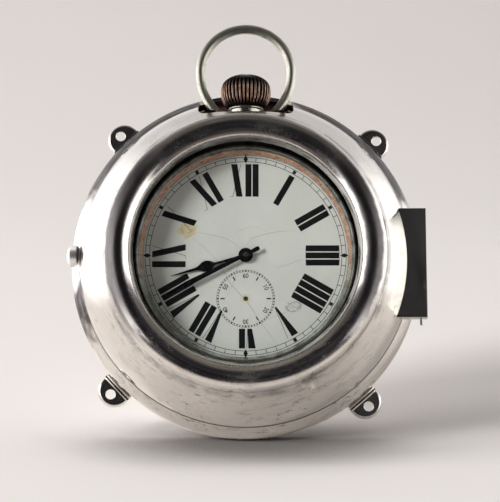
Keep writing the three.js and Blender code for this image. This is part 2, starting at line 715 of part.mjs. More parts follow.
function barrel() {
  const drum = join(plate(BARREL_PAIR.first, [14.4, 15.3]), rod(11.2, [12.6, 15.0], 28));
  return moved(cut(drum, rod(10.5, [12, 14.35], 28), rod(ARBOR_BORE, [12, 16], 12)), BARREL);
}
const barrelCover = () =>
  moved(cut(rod(10.4, [12.6, 12.95], 28), rod(ARBOR_BORE, [12, 13.5], 12)), BARREL);
const mainspring = () =>
  moved(spiral({ inner: 3.4, outer: 9.9, turns: 4, thickness: 0.35, span: SPRING_SPAN }), BARREL);
const barrelArbor = () =>
  moved(join(rod(1.25, [9.2, 16.9], 12), rod(2.5, SPRING_SPAN, 12)), BARREL);

const windingWheel = (shape, bore, at) =>
  moved(cut(plate(shape, WINDING_SPAN), rod(bore, [9, 10], 12)), at);
const ratchetScrew = () =>
  moved(cut(rod(2.3, [8.92, 9.14], 14), box([-2.5, 2.5], [-0.25, 0.25], [8.8, 9.0])), BARREL);

// on the stem, at the dial side of the crown wheel's rim
function windingPinion() {
  const shape = gear(10, WINDING_PAIR.module, Math.PI / 2, { ...PINION_TOOTH, above: 0.42 });
  const lying = plate(shape, [0, 2.4]).rotate([90, 0, 0]); // runs along -Y
  return cut(lying, rodY(0.97, [-5, 5], 0, 0, 10)).translate([0, 27.6, PENDANT.z]);
}

// The click and its spring are drawn with X towards the barrel's centre.
const atClick = (body) => moved(swung(body, bearing(CLICK, BARREL)), CLICK);
// a pawl held clear of the ratchet's teeth
function click() {
  const ratchetTip = (RATCHET_TEETH / 2 + WHEEL_TOOTH.above) * WINDING_PAIR.module;
  const reach = distance(CLICK, BARREL) - ratchetTip - 0.12;
  const pawl = poly([[-0.4, -1.05], [reach * 0.62, -3.0], [reach * 0.9, -2.9], [0.75, 0.7]]);
  const body = join(rod(1.15, WINDING_SPAN, 14), plate(pawl, WINDING_SPAN));
  return atClick(cut(body, rod(0.6, [9, 10], 12)));
}
const clickSpring = () => atClick(box([-1.6, -1.3], [-4.2, 3.0], [9.4, WINDING_SPAN[1]]));

// ---------------------------------------------------------------- movement: going train
// A wheel, its arbor and its pinion in one piece; wheel and pinion are [shape, span].
const trainWheel = (at, wheel, arbor, pinion) =>
  moved(join(plate(...wheel), arbor, plate(...pinion)), at);

const centreWheel = () =>
  trainWheel(
    CENTRE,
    [
      crossings(CENTRE_PAIR.first, { inner: 1.9, outer: 6.9, arms: 4, armHalf: 0.45 }),
      [11.8, 12.25],
    ],
    join(rod(0.9, [11.7, 14.3], 8), rod(0.38, [10.2, 21.7], 8)),
    [BARREL_PAIR.second, [14.2, 15.5]],
  );
const thirdWheel = () =>
  trainWheel(
    THIRD,
    [crossings(THIRD_PAIR.first, { inner: 1.5, outer: 5.8, arms: 4, armHalf: 0.4 }), [13.2, 13.6]],
    rod(0.3, [10.2, 16.6], 6),
    [CENTRE_PAIR.second, [11.6, 12.6]],
  );
const fourthWheel = () =>
  trainWheel(
    FOURTH,
    [
      crossings(FOURTH_PAIR.first, { inner: 1.3, outer: 5.2, arms: 4, armHalf: 0.35 }),
      [14.5, 14.85],
    ],
    rod(0.3, [10.2, 19.85], 6),
    [THIRD_PAIR.second, [12.9, 13.9]],
  );

// fifteen raked club teeth
function escapeWheel() {
  const [teeth, root, tip] = [15, 2.25, 2.92];
  const step = (2 * Math.PI) / teeth;
  const points = [];
  for (let k = 0; k < teeth; k++) {
    const angle = ESCAPE_LINE + (k + 0.5) * step;
    points.push([root, angle - 0.16 * step], [tip, angle + 0.22 * step]);
    points.push([tip, angle + 0.34 * step], [root, angle + 0.16 * step]);
  }
  const arms = { inner: 0.9, outer: 1.8, arms: 3, armHalf: 0.22 };
  return trainWheel(
    ESCAPE,
    [crossings(polarPoly(points), arms), [13.2, 13.55]],
    rod(0.3, [10.2, 16.6], 6),
    [FOURTH_PAIR.second, [14.2, 15.2]],
  );
}

// Lever: two pallet arms by the escape wheel, a forked tail towards the balance (+X as drawn).
const PALLET_ARM = [
  [0.5, 0.35], [0.1, 1.0], [-0.45, 2.2], [-0.95, 2.25], [-0.75, 1.65], [-0.5, 0.4], [-0.3, 0],
];
const LEVER_FORK = [
  [0.3, -0.22], [1.6, -0.22], [2.25, -0.75], [2.25, -0.3], [1.85, 0],
  [2.25, 0.3], [2.25, 0.75], [1.6, 0.22], [0.3, 0.22],
];
function palletLever() {
  const span = [13.1, 13.6];
  const arm = (side) => plate(poly(PALLET_ARM.map(([x, y]) => [x, y * side])), span);
  const lever = join(
    rod(0.45, [13.05, 13.65], 10),
    arm(1),
    arm(-1),
    plate(poly(LEVER_FORK), span),
    rod(0.3, [12.55, 16.6], 8),
  );
  return moved(swung(lever, ESCAPE_LINE), PALLET);
}

// ---------------------------------------------------------------- movement: balance
function balanceWheel() {
  const rim = cut(rod(6.25, [11.6, 12.2], 28), rod(5.5, [11, 13], 28));
  const arms = box([-5.8, 5.8], [-0.55, 0.55], [11.75, 12.1]);
  const wheel = cut(join(rim, arms, rod(1.1, [11.7, 12.15], 10)), rod(0.4, [11, 13], 8));
  return moved(wheel, BALANCE);
}
function balanceStaff() {
  const pin = rod(0.16, [13.1, 14.0], 6, [1.0, 0]); // roller pin, on the lever's side
  const staff = join(
    rod(0.34, [10.1, 16.7], 8),
    rod(0.8, [10.95, 11.25], 10), // collet of the hairspring
    rod(1.22, [13.9, 14.2], 12), // roller
    swung(pin, ESCAPE_LINE + Math.PI),
  );
  return moved(staff, BALANCE);
}
function hairspring() {
  const span = [10.98, 11.22];
  const coil = spiral({ inner: 1.02, outer: 3.45, turns: 3, thickness: 0.12, span });
  return moved(swung(coil, COCK_LINE), BALANCE);
}
// an index that turns on the cock and points away from its foot
function regulator() {
  const span = [9.5, 9.85];
  const pointer = poly([[1.2, -0.4], [5.6, -0.2], [6.2, 0], [5.6, 0.2], [1.2, 0.4]]);
  const index = cut(join(rod(1.5, span, 18), plate(pointer, span)), rod(0.5, [9, 10], 12));
  return moved(swung(index, COCK_LINE + Math.PI), BALANCE);
}

const movement = assemble([
  ["main_plate", mainPlate(), "gilt"],
  ["barrel_bridge", barrelBridge(), "gilt"],
  ["train_bridge", trainBridge(), "gilt"],
  ["balance_cock", balanceCock(), "gilt"],
  ["pallet_cock", palletCock(), "gilt"],
  ["barrel", barrel(), "gilt"],
  ["barrel_cover", barrelCover(), "gilt"],
  ["mainspring", mainspring(), "steel"],
  ["barrel_arbor", barrelArbor(), "steel"],
  ["ratchet_wheel", windingWheel(WINDING_PAIR.first, 1.35, BARREL), "steel"],
  ["ratchet_screw", ratchetScrew(), "steel"],
  ["crown_wheel", windingWheel(WINDING_PAIR.second, 1.0, CROWN_WHEEL), "steel"],
  ["winding_pinion", windingPinion(), "steel"],
  ["click", click(), "steel"],
  ["click_spring", clickSpring(), "steel"],
  ["centre_wheel", centreWheel(), "gilt"],
  ["third_wheel", thirdWheel(), "gilt"],
  ["fourth_wheel", fourthWheel(), "gilt"],
  ["escape_wheel", escapeWheel(), "steel"],
  ["pallet_lever", palletLever(), "steel"],
  ["balance_wheel", balanceWheel(), "gilt"],
  ["balance_staff", balanceStaff(), "steel"],
  ["hairspring", hairspring(), "blued"],
  ["regulator", regulator(), "steel"],
]);

// ---------------------------------------------------------------- stand it up
const watch = new THREE.Group();
watch.add(outerCase, watchCase, front, movement);
watch.rotation.x = Math.PI / 2;
const object = new THREE.Group();
object.add(watch);

export default object;
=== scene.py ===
from functools import cached_property
from math import acos, cos, degrees, pi, radians, sin, tan

import bmesh
import bpy
import numpy as np
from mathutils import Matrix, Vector


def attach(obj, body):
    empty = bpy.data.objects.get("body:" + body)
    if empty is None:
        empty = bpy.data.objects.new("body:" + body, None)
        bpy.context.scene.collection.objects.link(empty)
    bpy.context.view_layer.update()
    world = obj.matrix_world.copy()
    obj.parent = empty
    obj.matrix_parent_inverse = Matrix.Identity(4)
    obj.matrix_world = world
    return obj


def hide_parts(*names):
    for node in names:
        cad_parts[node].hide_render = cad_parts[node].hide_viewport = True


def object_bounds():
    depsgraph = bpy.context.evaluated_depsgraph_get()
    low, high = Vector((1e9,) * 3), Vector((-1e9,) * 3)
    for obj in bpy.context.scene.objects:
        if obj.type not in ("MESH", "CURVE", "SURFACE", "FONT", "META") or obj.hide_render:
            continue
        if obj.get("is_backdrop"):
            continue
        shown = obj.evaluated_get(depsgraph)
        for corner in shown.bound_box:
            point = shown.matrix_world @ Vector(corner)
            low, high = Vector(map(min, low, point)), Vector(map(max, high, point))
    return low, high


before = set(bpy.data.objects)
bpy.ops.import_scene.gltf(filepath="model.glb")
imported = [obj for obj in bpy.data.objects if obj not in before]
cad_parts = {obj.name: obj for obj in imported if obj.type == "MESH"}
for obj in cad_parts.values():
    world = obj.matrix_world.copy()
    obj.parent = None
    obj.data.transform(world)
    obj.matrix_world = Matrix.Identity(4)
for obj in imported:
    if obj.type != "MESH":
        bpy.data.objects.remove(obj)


def plain_bounds():
    values = []
    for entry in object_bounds():
        try:
            values.append([float(c) for c in entry])
        except TypeError:  # the entry is a plain number, not a vector
            values.append(float(entry))
    return values


size = {"start": plain_bounds()}
scene = bpy.context.scene

# ------------------------------------------------------------------ driving dimensions, watch mm
PAN_TOP = 11.2  # rim of the case pan
DOOR_FOOT = 11.4  # lower edge of the door
CLEARANCE = 0.08  # left between a fitted piece and the pan or door it meets
PENDANT_GAP = 13.4  # half width of the opening for the pendant at twelve o'clock
CATCH_Y, CATCH_Z = 1.9, 8.1  # axis of the catch button, which lies along X at nine o'clock
HINGE_X, HINGE_Z = 48.8, 12.2  # axis of the hinge, which lies along Y at three o'clock
HINGE_Y = -1.2  # middle of the hinge
WATCH_Z = 13.5  # mid height of the watch: pendant, bow, crown and stem
BOW_Y = 41.0  # pivot of the bow
PIN_TURN = -15.5  # degrees from twelve o'clock to the setting pin
DIAL_TOP = 20.0
DIAL_RADIUS = 30.0
SECONDS_Y = -12.0  # middle of the seconds dial
CROWN_FOOT = 43.4


# ------------------------------------------------------------------ node trees
class Signal:
    """What a socket carries. Arithmetic and the methods below add the nodes that work it out."""

    def __init__(self, graph, socket):
        self.graph, self.socket = graph, socket

    def __add__(self, other):
        return self.graph.math("ADD", self, other)

    def __radd__(self, other):
        return self.graph.math("ADD", other, self)

    def __sub__(self, other):
        return self.graph.math("SUBTRACT", self, other)

    def __rsub__(self, other):
        return self.graph.math("SUBTRACT", other, self)

    def __mul__(self, other):
        return self.graph.math("MULTIPLY", self, other)

    def __truediv__(self, other):
        return self.graph.math("DIVIDE", self, other)

    def __pow__(self, other):
        return self.graph.math("POWER", self, other)

    def __abs__(self):
        return self.graph.math("ABSOLUTE", self)

    def sqrt(self):
        return self.graph.math("SQRT", self)

    def max(self, other):
        return self.graph.math("MAXIMUM", self, other)

    def add_clamped(self, other):
        return self.graph.math("ADD", self, other, clamp=True)

    def ramp(self, start, end, to=(0.0, 1.0)):
        """A smooth change between the two values of to while the signal goes from start to end."""
        inputs = {0: self, 1: start, 2: end, 3: to[0], 4: to[1]}
        return self.graph.value("MapRange", inputs, interpolation_type="SMOOTHSTEP")

    def band(self, low, high, soft):
        """1 between low and high, 0 outside, with edges soft to either side."""
        return self.ramp(low - soft, low + soft) * self.ramp(high - soft, high + soft, (1.0, 0.0))

    def noise(self, scale, detail=4.0, rough=0.55, warp=0.0):
        inputs = {"Vector": self, "Scale": scale, "Detail": detail}
        inputs.update({"Roughness": rough, "Distortion": warp})
        return self.graph.value("TexNoise", inputs)

    def stretch(self, *scale):
        """Scaled coordinates: a pattern grows longer along an axis with a small factor."""
        return self.graph.value("Mapping", {0: self, 3: scale})


def hypot(across, along):
    return (across * across + along * along).sqrt()


class Graph:
    def __init__(self, tree):
        tree.nodes.clear()
        self.tree = tree

    def node(self, kind, inputs, **settings):
        node = self.tree.nodes.new("ShaderNode" + kind)
        for key, setting in settings.items():
            setattr(node, key, setting)
        for key, given in inputs.items():
            socket = node.inputs[key]
            if isinstance(given, Signal):
                self.tree.links.new(given.socket, socket)
            elif isinstance(given, tuple) and len(given) == 3 and socket.type == "RGBA":
                socket.default_value = (*given, 1.0)
            else:
                socket.default_value = given
        return node

    def value(self, kind, inputs=None, output=0, **settings):
        return Signal(self, self.node(kind, inputs or {}, **settings).outputs[output])

    def math(self, operation, first, second=0.0, clamp=False):
        inputs = {0: first, 1: second, 2: 0.0}
        return self.value("Math", inputs, operation=operation, use_clamp=clamp)

    def mix(self, mask, under, over):
        """Colour over laid on colour under where the mask is 1."""
        return self.value("Mix", {0: mask, 6: under, 7: over}, output=2, data_type="RGBA")

    def lerp(self, mask, low, high):
        return self.value("Mix", {0: mask, 2: low, 3: high}, data_type="FLOAT")

    def split(self, vector):
        return [Signal(self, socket) for socket in self.node("SeparateXYZ", {0: vector}).outputs]


class Surface(Graph):
    """A material. coords and mm lie along the frame's axes; x, y, z, radius and angle are the
    watch's; polar is the way round the watch, the radius and the height."""

    def __init__(self, name):
        self.material = bpy.data.materials.new(name)
        self.material.use_nodes = True
        super().__init__(self.material.node_tree)

    @cached_property
    def coords(self):
        return self.value("TexCoord", output="Object")

    @cached_property
    def mm(self):
        return self.value("VectorMath", {0: self.coords, 3: 1000.0}, operation="SCALE")

    @cached_property
    def frame_axes(self):
        return self.split(self.mm)

    @property
    def x(self):
        return self.frame_axes[0]

    @property
    def y(self):
        return self.frame_axes[2]

    @cached_property
    def z(self):
        return self.frame_axes[1] * -1.0

    @cached_property
    def radius(self):
        return hypot(self.x, self.y)

    @cached_property
    def angle(self):
        return self.math("ARCTAN2", self.y, self.x)

    @cached_property
    def polar(self):
        return self.value("CombineXYZ", {0: self.angle * 40.0, 1: self.radius, 2: self.z})

    def bump(self, height, strength, distance, normal=None):
        inputs = {"Strength": strength, "Distance": distance, "Height": height}
        if normal:
            inputs["Normal"] = normal
        return self.value("Bump", inputs)

    def soft_edges(self, radius):
        return self.value("Bevel", {0: radius}, samples=4)

    def finish(self, colour, rough, metallic, normal, **more):
        inputs = {"Base Color": colour, "Roughness": rough, "Metallic": metallic}
        shader = self.value("BsdfPrincipled", {**inputs, "Normal": normal, **more})
        return self.output(shader)

    def output(self, shader):
        self.node("OutputMaterial", {0: shader})
        return self.material


def hairlines(vector, scale, thin, seed):
    """Sparse thin lines: where a shifted, stretched noise crosses its middle value."""
    offset = (seed * 7.1, seed * 3.3, seed * 5.7)
    moved = vector.graph.value("VectorMath", {0: vector, 1: offset}, operation="ADD")
    noise = moved.noise(scale=scale, detail=2.0, rough=0.5)
    return abs(noise - 0.5).ramp(0.0, thin, to=(1.0, 0.0))


# ------------------------------------------------------------------ materials
def metal(name, clean, dirty, rough, dirt, scale, bevel=0.0, wear=1.0, bumps=0.25,
          metallic=1.0, streak=(1.0, 0.25, 1.0)):
    """Polished or plated metal with patchy tarnish, wipe marks, hairline scratches and a slightly
    uneven surface. bevel is in millimetres."""
    mat = Surface(name)
    patch = mat.mm.noise(scale=scale, detail=5.0, rough=0.62, warp=0.6)
    fine = mat.mm.noise(scale=scale * 14, detail=3.0, rough=0.6)
    grime = (patch * 0.8 + fine * 0.2).ramp(0.62 - dirt * 0.35, 0.82 - dirt * 0.2)
    wipe = mat.mm.stretch(*streak).noise(scale=scale * 9, rough=0.6)
    upright = hairlines(mat.mm.stretch(1.0, 1.0, 0.12), scale=1.1, thin=0.006, seed=1)
    across = hairlines(mat.mm.stretch(0.1, 1.0, 1.0), scale=0.9, thin=0.005, seed=2)
    lines = upright.max(across) * (wear * 0.6)
    colour = mat.mix(grime * 0.85, clean, dirty)
    roughness = rough * 0.75 + grime * 0.22 + wipe * (rough * 0.5)
    roughness = roughness.add_clamped(lines * 0.15)
    height = mat.mm.noise(scale=0.35, detail=2.0) * 0.8 + fine * 0.12 - lines * 0.25
    edges = mat.soft_edges(bevel / 1000.0) if bevel else None
    normal = mat.bump(height, strength=bumps, distance=0.0001, normal=edges)
    return mat.finish(colour, roughness, metallic, normal)


def door_shade_and_seam(mat, cloud):
    """Painted shade in the crease and on the inner lip, painted dark reflection round the bead's
    face, and a dark seam at the foot.
    """
    noise = mat.polar.noise
    # painted shade in the crease where the bead meets the flange
    crease = mat.radius.band(38.1, 39.7, soft=0.5) * noise(scale=0.11).ramp(0.38, 0.62) * 0.55
    foot = mat.z.ramp(11.9, 11.4) * 0.8
    # painted shade on the inner lip, weaker towards three o'clock where the light falls
    lip = mat.radius.ramp(31.55, 30.85) * noise(scale=0.2).ramp(0.25, 0.55, to=(0.75, 1.0))
    lip = lip * mat.x.ramp(6.0, 24.0, to=(0.88, 0.25))
    # painted dark reflection: the ring on the bead wanders, and lies further in towards three
    # o'clock
    wander = mat.radius + mat.x.ramp(12.0, 26.0, to=(0.0, 0.9))
    wander = wander + (noise(scale=0.16, rough=0.6) - 0.5) * 1.6
    ring = wander.band(33.3, 38.0, soft=0.7) * mat.z.ramp(25.0, 26.2)
    not_low = (mat.y + (cloud - 0.5) * 8.0).ramp(-20.0, -8.0)
    mottle = mat.polar.stretch(0.3, 1.2, 1.2).noise(scale=0.9, rough=0.6)
    ring = ring * not_low * mottle.ramp(0.15, 0.75, to=(0.50, 0.80))
    ring = ring * mat.y.ramp(12.0, 34.0, to=(1.0, 0.74))
    # painted dark reflection on the bead's flanks as well
    band = wander.band(33.3, 38.2, soft=0.6) * mat.z.ramp(25.0, 26.2)
    flank = abs(mat.x).ramp(14.0, 30.0) * band * mat.y.ramp(-30.0, -12.0)
    return crease.max(foot).max(lip).max(ring.max(flank * 0.93))


def pan_shade_and_seam(mat, bearing, fine):
    """Painted shade high on the wall, at the upper left, upper right and nine o'clock, and a dark
    seam along the rim.
    """
    bearing = bearing + (mat.polar.noise(scale=0.10, detail=3.0) - 0.5) * 26.0
    upper = bearing.band(18.0, 74.0, soft=3.0).max(bearing.band(106.0, 158.0, soft=4.0))
    side = bearing.band(-172.0, -156.0, soft=3.0)
    height = (mat.z + (fine - 0.5) * 1.5).ramp(3.0, 5.2)
    streaks = mat.polar.stretch(0.22, 1.5, 1.5).noise(scale=0.55, rough=0.6).ramp(0.28, 0.55)
    # painted shade on the upper wall; the last term is the dark seam at the rim
    dark = upper.max(side) * height * (0.76 + streaks * 0.22)
    return dark.max(mat.z.ramp(10.7, 11.15) * 0.85)


# middle X, middle Y, half width, half height, rim, floor, depth
DINGS = ((18.1, -35.0, 1.0, 1.9, 1.15, 0.25, 9.0), (15.6, -35.9, 0.8, 1.0, 1.0, 0.2, 6.0))


def silver_plate(name, door):
    mat = Surface(name)
    cloud = mat.mm.noise(scale=0.1, detail=5.0, rough=0.62, warp=0.4)
    fine = mat.mm.noise(scale=1.6, rough=0.65)
    grain = mat.polar.stretch(0.12, 1.4, 1.4).noise(scale=1.6, detail=3.0, rough=0.6)
    # tarnish blooms, thickest low on the case; bearing is anticlockwise from three o'clock
    bearing = mat.angle * (180 / pi)
    low = bearing.band(-150.0, -35.0, soft=22.0)
    bloom = cloud * 0.75 + fine * 0.25
    smear = mat.polar.stretch(0.25, 1.0, 1.0).noise(scale=0.42, detail=5.0, rough=0.68, warp=0.5)
    patches = (bloom.ramp(0.49, 0.68) * 0.38).max(smear.ramp(0.50, 0.66) * low * 0.55)
    # short dark flecks that run round the case
    fleck = mat.polar.stretch(0.35, 1.0, 1.0).noise(scale=0.95, detail=6.0, rough=0.78, warp=0.8)
    cluster = mat.mm.noise(scale=0.085, detail=2.0, rough=0.5).ramp(0.44, 0.56)
    flecks = fleck.ramp(0.555, 0.64) * cluster * (low * 0.75 + 0.16)
    dark = door_shade_and_seam(mat, cloud) if door else pan_shade_and_seam(mat, bearing, fine)

    # near black for the painted shade, the painted dark reflection on the door's bead, and the dark
    # seams
    shade_and_seam_colour = (0.075, 0.066, 0.074) if door else (0.035, 0.028, 0.034)
    colour = mat.mix(patches, (0.93, 0.90, 0.875), (0.62, 0.55, 0.51))
    colour = mat.mix(flecks * 0.95, colour, (0.085, 0.06, 0.055))
    colour = mat.mix(dark * 0.97, colour, shade_and_seam_colour)
    colour = mat.mix(grain.ramp(0.45, 0.75) * 0.10, colour, (0.5, 0.45, 0.42))

    upright = hairlines(mat.mm.stretch(1.0, 1.0, 0.15), scale=0.9, thin=0.005, seed=1)
    across = hairlines(mat.mm.stretch(0.12, 1.0, 1.0), scale=0.75, thin=0.005, seed=2)
    around = hairlines(mat.polar.stretch(0.10, 1.0, 1.0), scale=1.3, thin=0.006, seed=3)
    lines = upright.max(across).max(around)
    lines = lines * mat.mm.noise(scale=0.14, detail=2.0).ramp(0.42, 0.62)
    haze = mat.mm.noise(scale=0.05, rough=0.6, warp=0.8).ramp(0.42, 0.66)
    rough = (0.075 if door else 0.10) + haze * 0.07 + patches * 0.35
    rough = rough + dark.max(flecks) * 0.22 + lines * 0.18
    rough = rough.add_clamped(low * haze * 0.08)

    # the sheet is not quite even
    height = mat.mm.noise(scale=0.075, detail=2.0, rough=0.45) * 1.0 + fine * 0.012 - lines * 0.02
    if door:
        # two small dings on the crease at the lower right
        for x, y, half_width, half_height, rim, floor, depth in DINGS:
            away = hypot((mat.x - x) / half_width, (mat.y - y) / half_height)
            height = height - away.ramp(rim, floor) * depth
        metallic = 1.0
    else:
        # a dull rubbed patch round the catch button
        rub = mat.x.ramp(-47.2, -47.7) * mat.y.band(-1.3, 5.1, soft=0.3)
        rough = rough + rub * mat.z.ramp(4.6, 5.4) * 0.40
        metallic = mat.lerp(rub * mat.z.ramp(4.6, 5.4), 1.0, 0.35)
    edges = mat.soft_edges(0.00012)
    normal = mat.bump(height, strength=0.32, distance=0.0004, normal=edges)
    return mat.finish(colour, rough, metallic, normal)


def crown_material():
    """Dull silver in patches, and bare dark copper where the fingers rub."""
    mat = Surface("crown_copper")
    radius = (mat.x * mat.x + (mat.z - WATCH_Z) * (mat.z - WATCH_Z)).sqrt()
    cloud = mat.mm.noise(scale=0.6, detail=5.0, rough=0.65, warp=0.3)
    fine = mat.mm.noise(scale=4.0, rough=0.6)
    worn = (cloud + fine * 0.25).ramp(0.50, 0.72)
    colour = mat.mix(worn, (0.31, 0.255, 0.23), (0.21, 0.105, 0.06))
    colour = mat.mix(fine.ramp(0.60, 0.76) * 0.30, colour, (0.66, 0.58, 0.52))
    # painted shade: the flutes darken with their depth under the crown's own rounded outline
    up = mat.y - 48.6
    half_length = mat.lerp(up.ramp(-0.01, 0.01), 7.6, 5.0)
    swell = (1.0 - abs(up / half_length) ** 2.4).max(0.0).sqrt()
    depth = swell * 7.05 - radius
    colour = mat.mix(depth.ramp(0.07, 0.30) * 0.96, colour, (0.010, 0.008, 0.008))
    normal = mat.bump(fine, strength=0.3, distance=0.00006)
    return mat.finish(colour, 0.12 + cloud * 0.20, 0.95, normal)


def bezel_material():
    """Nickel whose plating has worn through to copper along the sloping inner wall."""
    mat = Surface("nickel_bezel")
    cloud = mat.polar.noise(scale=0.22, rough=0.6, warp=0.4)
    fine = mat.mm.noise(scale=1.4, rough=0.65)
    upper = (mat.y + (cloud - 0.5) * 22.0).ramp(-8.0, 2.0)
    inner = mat.radius.ramp(29.5, 29.2) * mat.z.ramp(22.75, 22.5)
    strip = (mat.z + (cloud - 0.5) * 1.7).band(20.7, 22.35, soft=0.25)
    mottle = mat.polar.stretch(0.5, 1.0, 1.0).noise(scale=1.0, detail=5.0, rough=0.7, warp=0.4)
    copper = upper * inner * (strip * mottle.ramp(0.34, 0.50))
    dirt = (cloud + fine * 0.3).ramp(0.58, 0.82)
    specks = mat.mm.noise(scale=0.9, detail=3.0, rough=0.5).ramp(0.66, 0.72) * inner
    shadow = mat.radius.ramp(30.15, 30.30).max(mat.z.ramp(22.3, 22.65) * 0.35)
    copper_tone = mat.mix(mottle.ramp(0.48, 0.66), (0.80, 0.42, 0.27), (0.50, 0.20, 0.105))
    colour = mat.mix(dirt * 0.7, (0.66, 0.68, 0.63), (0.26, 0.24, 0.20))
    colour = mat.mix(copper * 0.92, colour, copper_tone)
    colour = mat.mix(shadow * 0.94, colour, (0.020, 0.016, 0.015))
    colour = mat.mix(specks * 0.8, colour, (0.06, 0.035, 0.025))
    rough = 0.26 + dirt * 0.2 + copper * 0.30 + shadow * 0.35
    normal = mat.bump(fine, strength=0.15, distance=0.00008)
    return mat.finish(colour, rough, mat.lerp(copper, 1.0, 0.55), normal)


STAIN_X, STAIN_Y = -16.0, 6.9
STAR_X, STAR_Y = 13.0, -14.2  # the chipped star near four o'clock


def enamel_material():
    mat = Surface("enamel_dial")
    noise = mat.mm.noise
    cloud = noise(scale=0.06, rough=0.6, warp=0.3)
    fine = noise(scale=2.5, detail=5.0, rough=0.7)
    colour = mat.mix(cloud.ramp(0.35, 0.68), (0.715, 0.728, 0.70), (0.78, 0.79, 0.762))
    pores = noise(scale=5.0, detail=2.0, rough=0.5).ramp(0.70, 0.76) * 0.35
    colour = mat.mix(pores, colour, (0.33, 0.33, 0.29))
    edge = mat.radius.ramp(27.6, DIAL_RADIUS) * (fine.ramp(0.4, 0.7) * 0.35)
    colour = mat.mix(edge, colour, (0.45, 0.43, 0.36))

    # old repair stain at the foot of the ten, with an ochre rim and darker crumbs
    taper = mat.y.ramp(3.6, 7.6, to=(0.30, 1.0))
    stain = hypot((mat.x - STAIN_X) / (taper * 3.3), (mat.y - STAIN_Y) / 2.55)
    stain = stain + (noise(scale=0.95, detail=5.0, rough=0.66) - 0.5) * 1.5
    colour = mat.mix(stain.ramp(1.02, 0.70) * 0.85, colour, (0.72, 0.63, 0.38))
    broken = noise(scale=0.7, detail=3.0, rough=0.6).ramp(0.46, 0.56)
    rim = stain.band(0.30, 0.62, soft=0.14) * broken
    colour = mat.mix(rim * 0.55, colour, (0.52, 0.40, 0.15))
    crumbs = noise(scale=1.7, detail=3.0, rough=0.6).ramp(0.58, 0.66) * stain.ramp(0.85, 0.35)
    colour = mat.mix(crumbs * 0.8, colour, (0.24, 0.16, 0.06))

    # faint rusty haze round the seconds arbor
    below = -SECONDS_Y
    seconds = (mat.x * mat.x + (mat.y + below) * (mat.y + below)).sqrt()
    colour = mat.mix(seconds.ramp(1.9, 0.6) * 0.5, colour, (0.66, 0.58, 0.34))

    # ragged outline of the chipped star, an oval turned by 20 degrees
    cosine, sine = cos(radians(20)), sin(radians(20))
    dx, dy = mat.x - STAR_X, mat.y - STAR_Y
    star = hypot((dx * cosine + dy * sine) / 2.3, (dy * cosine - dx * sine) / 1.3)
    star = star + (noise(scale=0.75, rough=0.6) - 0.5) * 1.5
    colour = mat.mix(star.band(0.75, 1.0, soft=0.1) * 0.55, colour, (0.28, 0.27, 0.23))

    # the seconds dial is sunk a little
    height = noise(scale=0.3, detail=2.0) * 1.0 + fine * 0.06 - seconds.ramp(8.65, 8.35) * 0.35
    glaze = {"IOR": 1.52, "Coat Weight": 0.25, "Coat Roughness": 0.08}
    normal = mat.bump(height, strength=0.18, distance=0.0002)
    return mat.finish(colour, 0.16 + fine * 0.12, 0.0, normal, **glaze)


def paint(name, colour, rough=0.32):
    mat = Surface(name)
    fine = mat.mm.noise(scale=3.0, rough=0.7)
    wear = mat.mm.noise(scale=1.2, detail=5.0, rough=0.7).ramp(0.60, 0.72) * 0.25
    worn = tuple(min(1.0, channel * 4 + 0.05) for channel in colour)
    normal = mat.bump(fine, strength=0.2, distance=0.00002)
    return mat.finish(mat.mix(wear, colour, worn), rough + fine * 0.15, 0.0, normal)


def glass_material():
    mat = Surface("crystal")
    fresnel = mat.value("Fresnel", {"IOR": 1.5})
    smear = mat.mm.stretch(0.4, 1.0, 1.0).noise(scale=0.16, detail=5.0, rough=0.65, warp=1.0)
    lines = hairlines(mat.mm.stretch(1.0, 0.14, 1.0), scale=0.5, thin=0.003, seed=5)
    gloss = mat.value("BsdfGlossy", {
        "Color": (1, 1, 1),
        "Roughness": 0.015 + smear.ramp(0.45, 0.75) * 0.10,
        "Normal": mat.bump(mat.mm.noise(scale=0.2, detail=2.0), strength=0.05, distance=0.0001),
    })
    clear = mat.value("BsdfTransparent", {0: (0.975, 0.982, 0.974)})
    # only faces turned to the viewer reflect
    backfacing = mat.value("NewGeometry", output="Backfacing")
    share = (fresnel * 0.75).add_clamped(lines * 0.02) * (1.0 - backfacing)
    return mat.output(mat.value("MixShader", {0: share, 1: clear, 2: gloss}))


def velvet_material():
    mat = Surface("velvet_lining")
    pile = mat.mm.noise(scale=5.0, detail=6.0, rough=0.75)
    crush = mat.mm.noise(scale=0.18, detail=3.0, warp=0.5)
    lint = mat.mm.noise(scale=0.4, detail=5.0, rough=0.7).ramp(0.60, 0.75) * 0.5
    colour = mat.mix(crush.ramp(0.35, 0.65), (0.055, 0.026, 0.030), (0.12, 0.062, 0.062))
    colour = mat.mix(lint, colour, (0.24, 0.17, 0.13))
    sheen = {"Sheen Weight": 0.5, "Sheen Roughness": 0.4}
    normal = mat.bump(pile, strength=0.8, distance=0.00025)
    return mat.finish(colour, 0.95, 0.0, normal, **sheen)


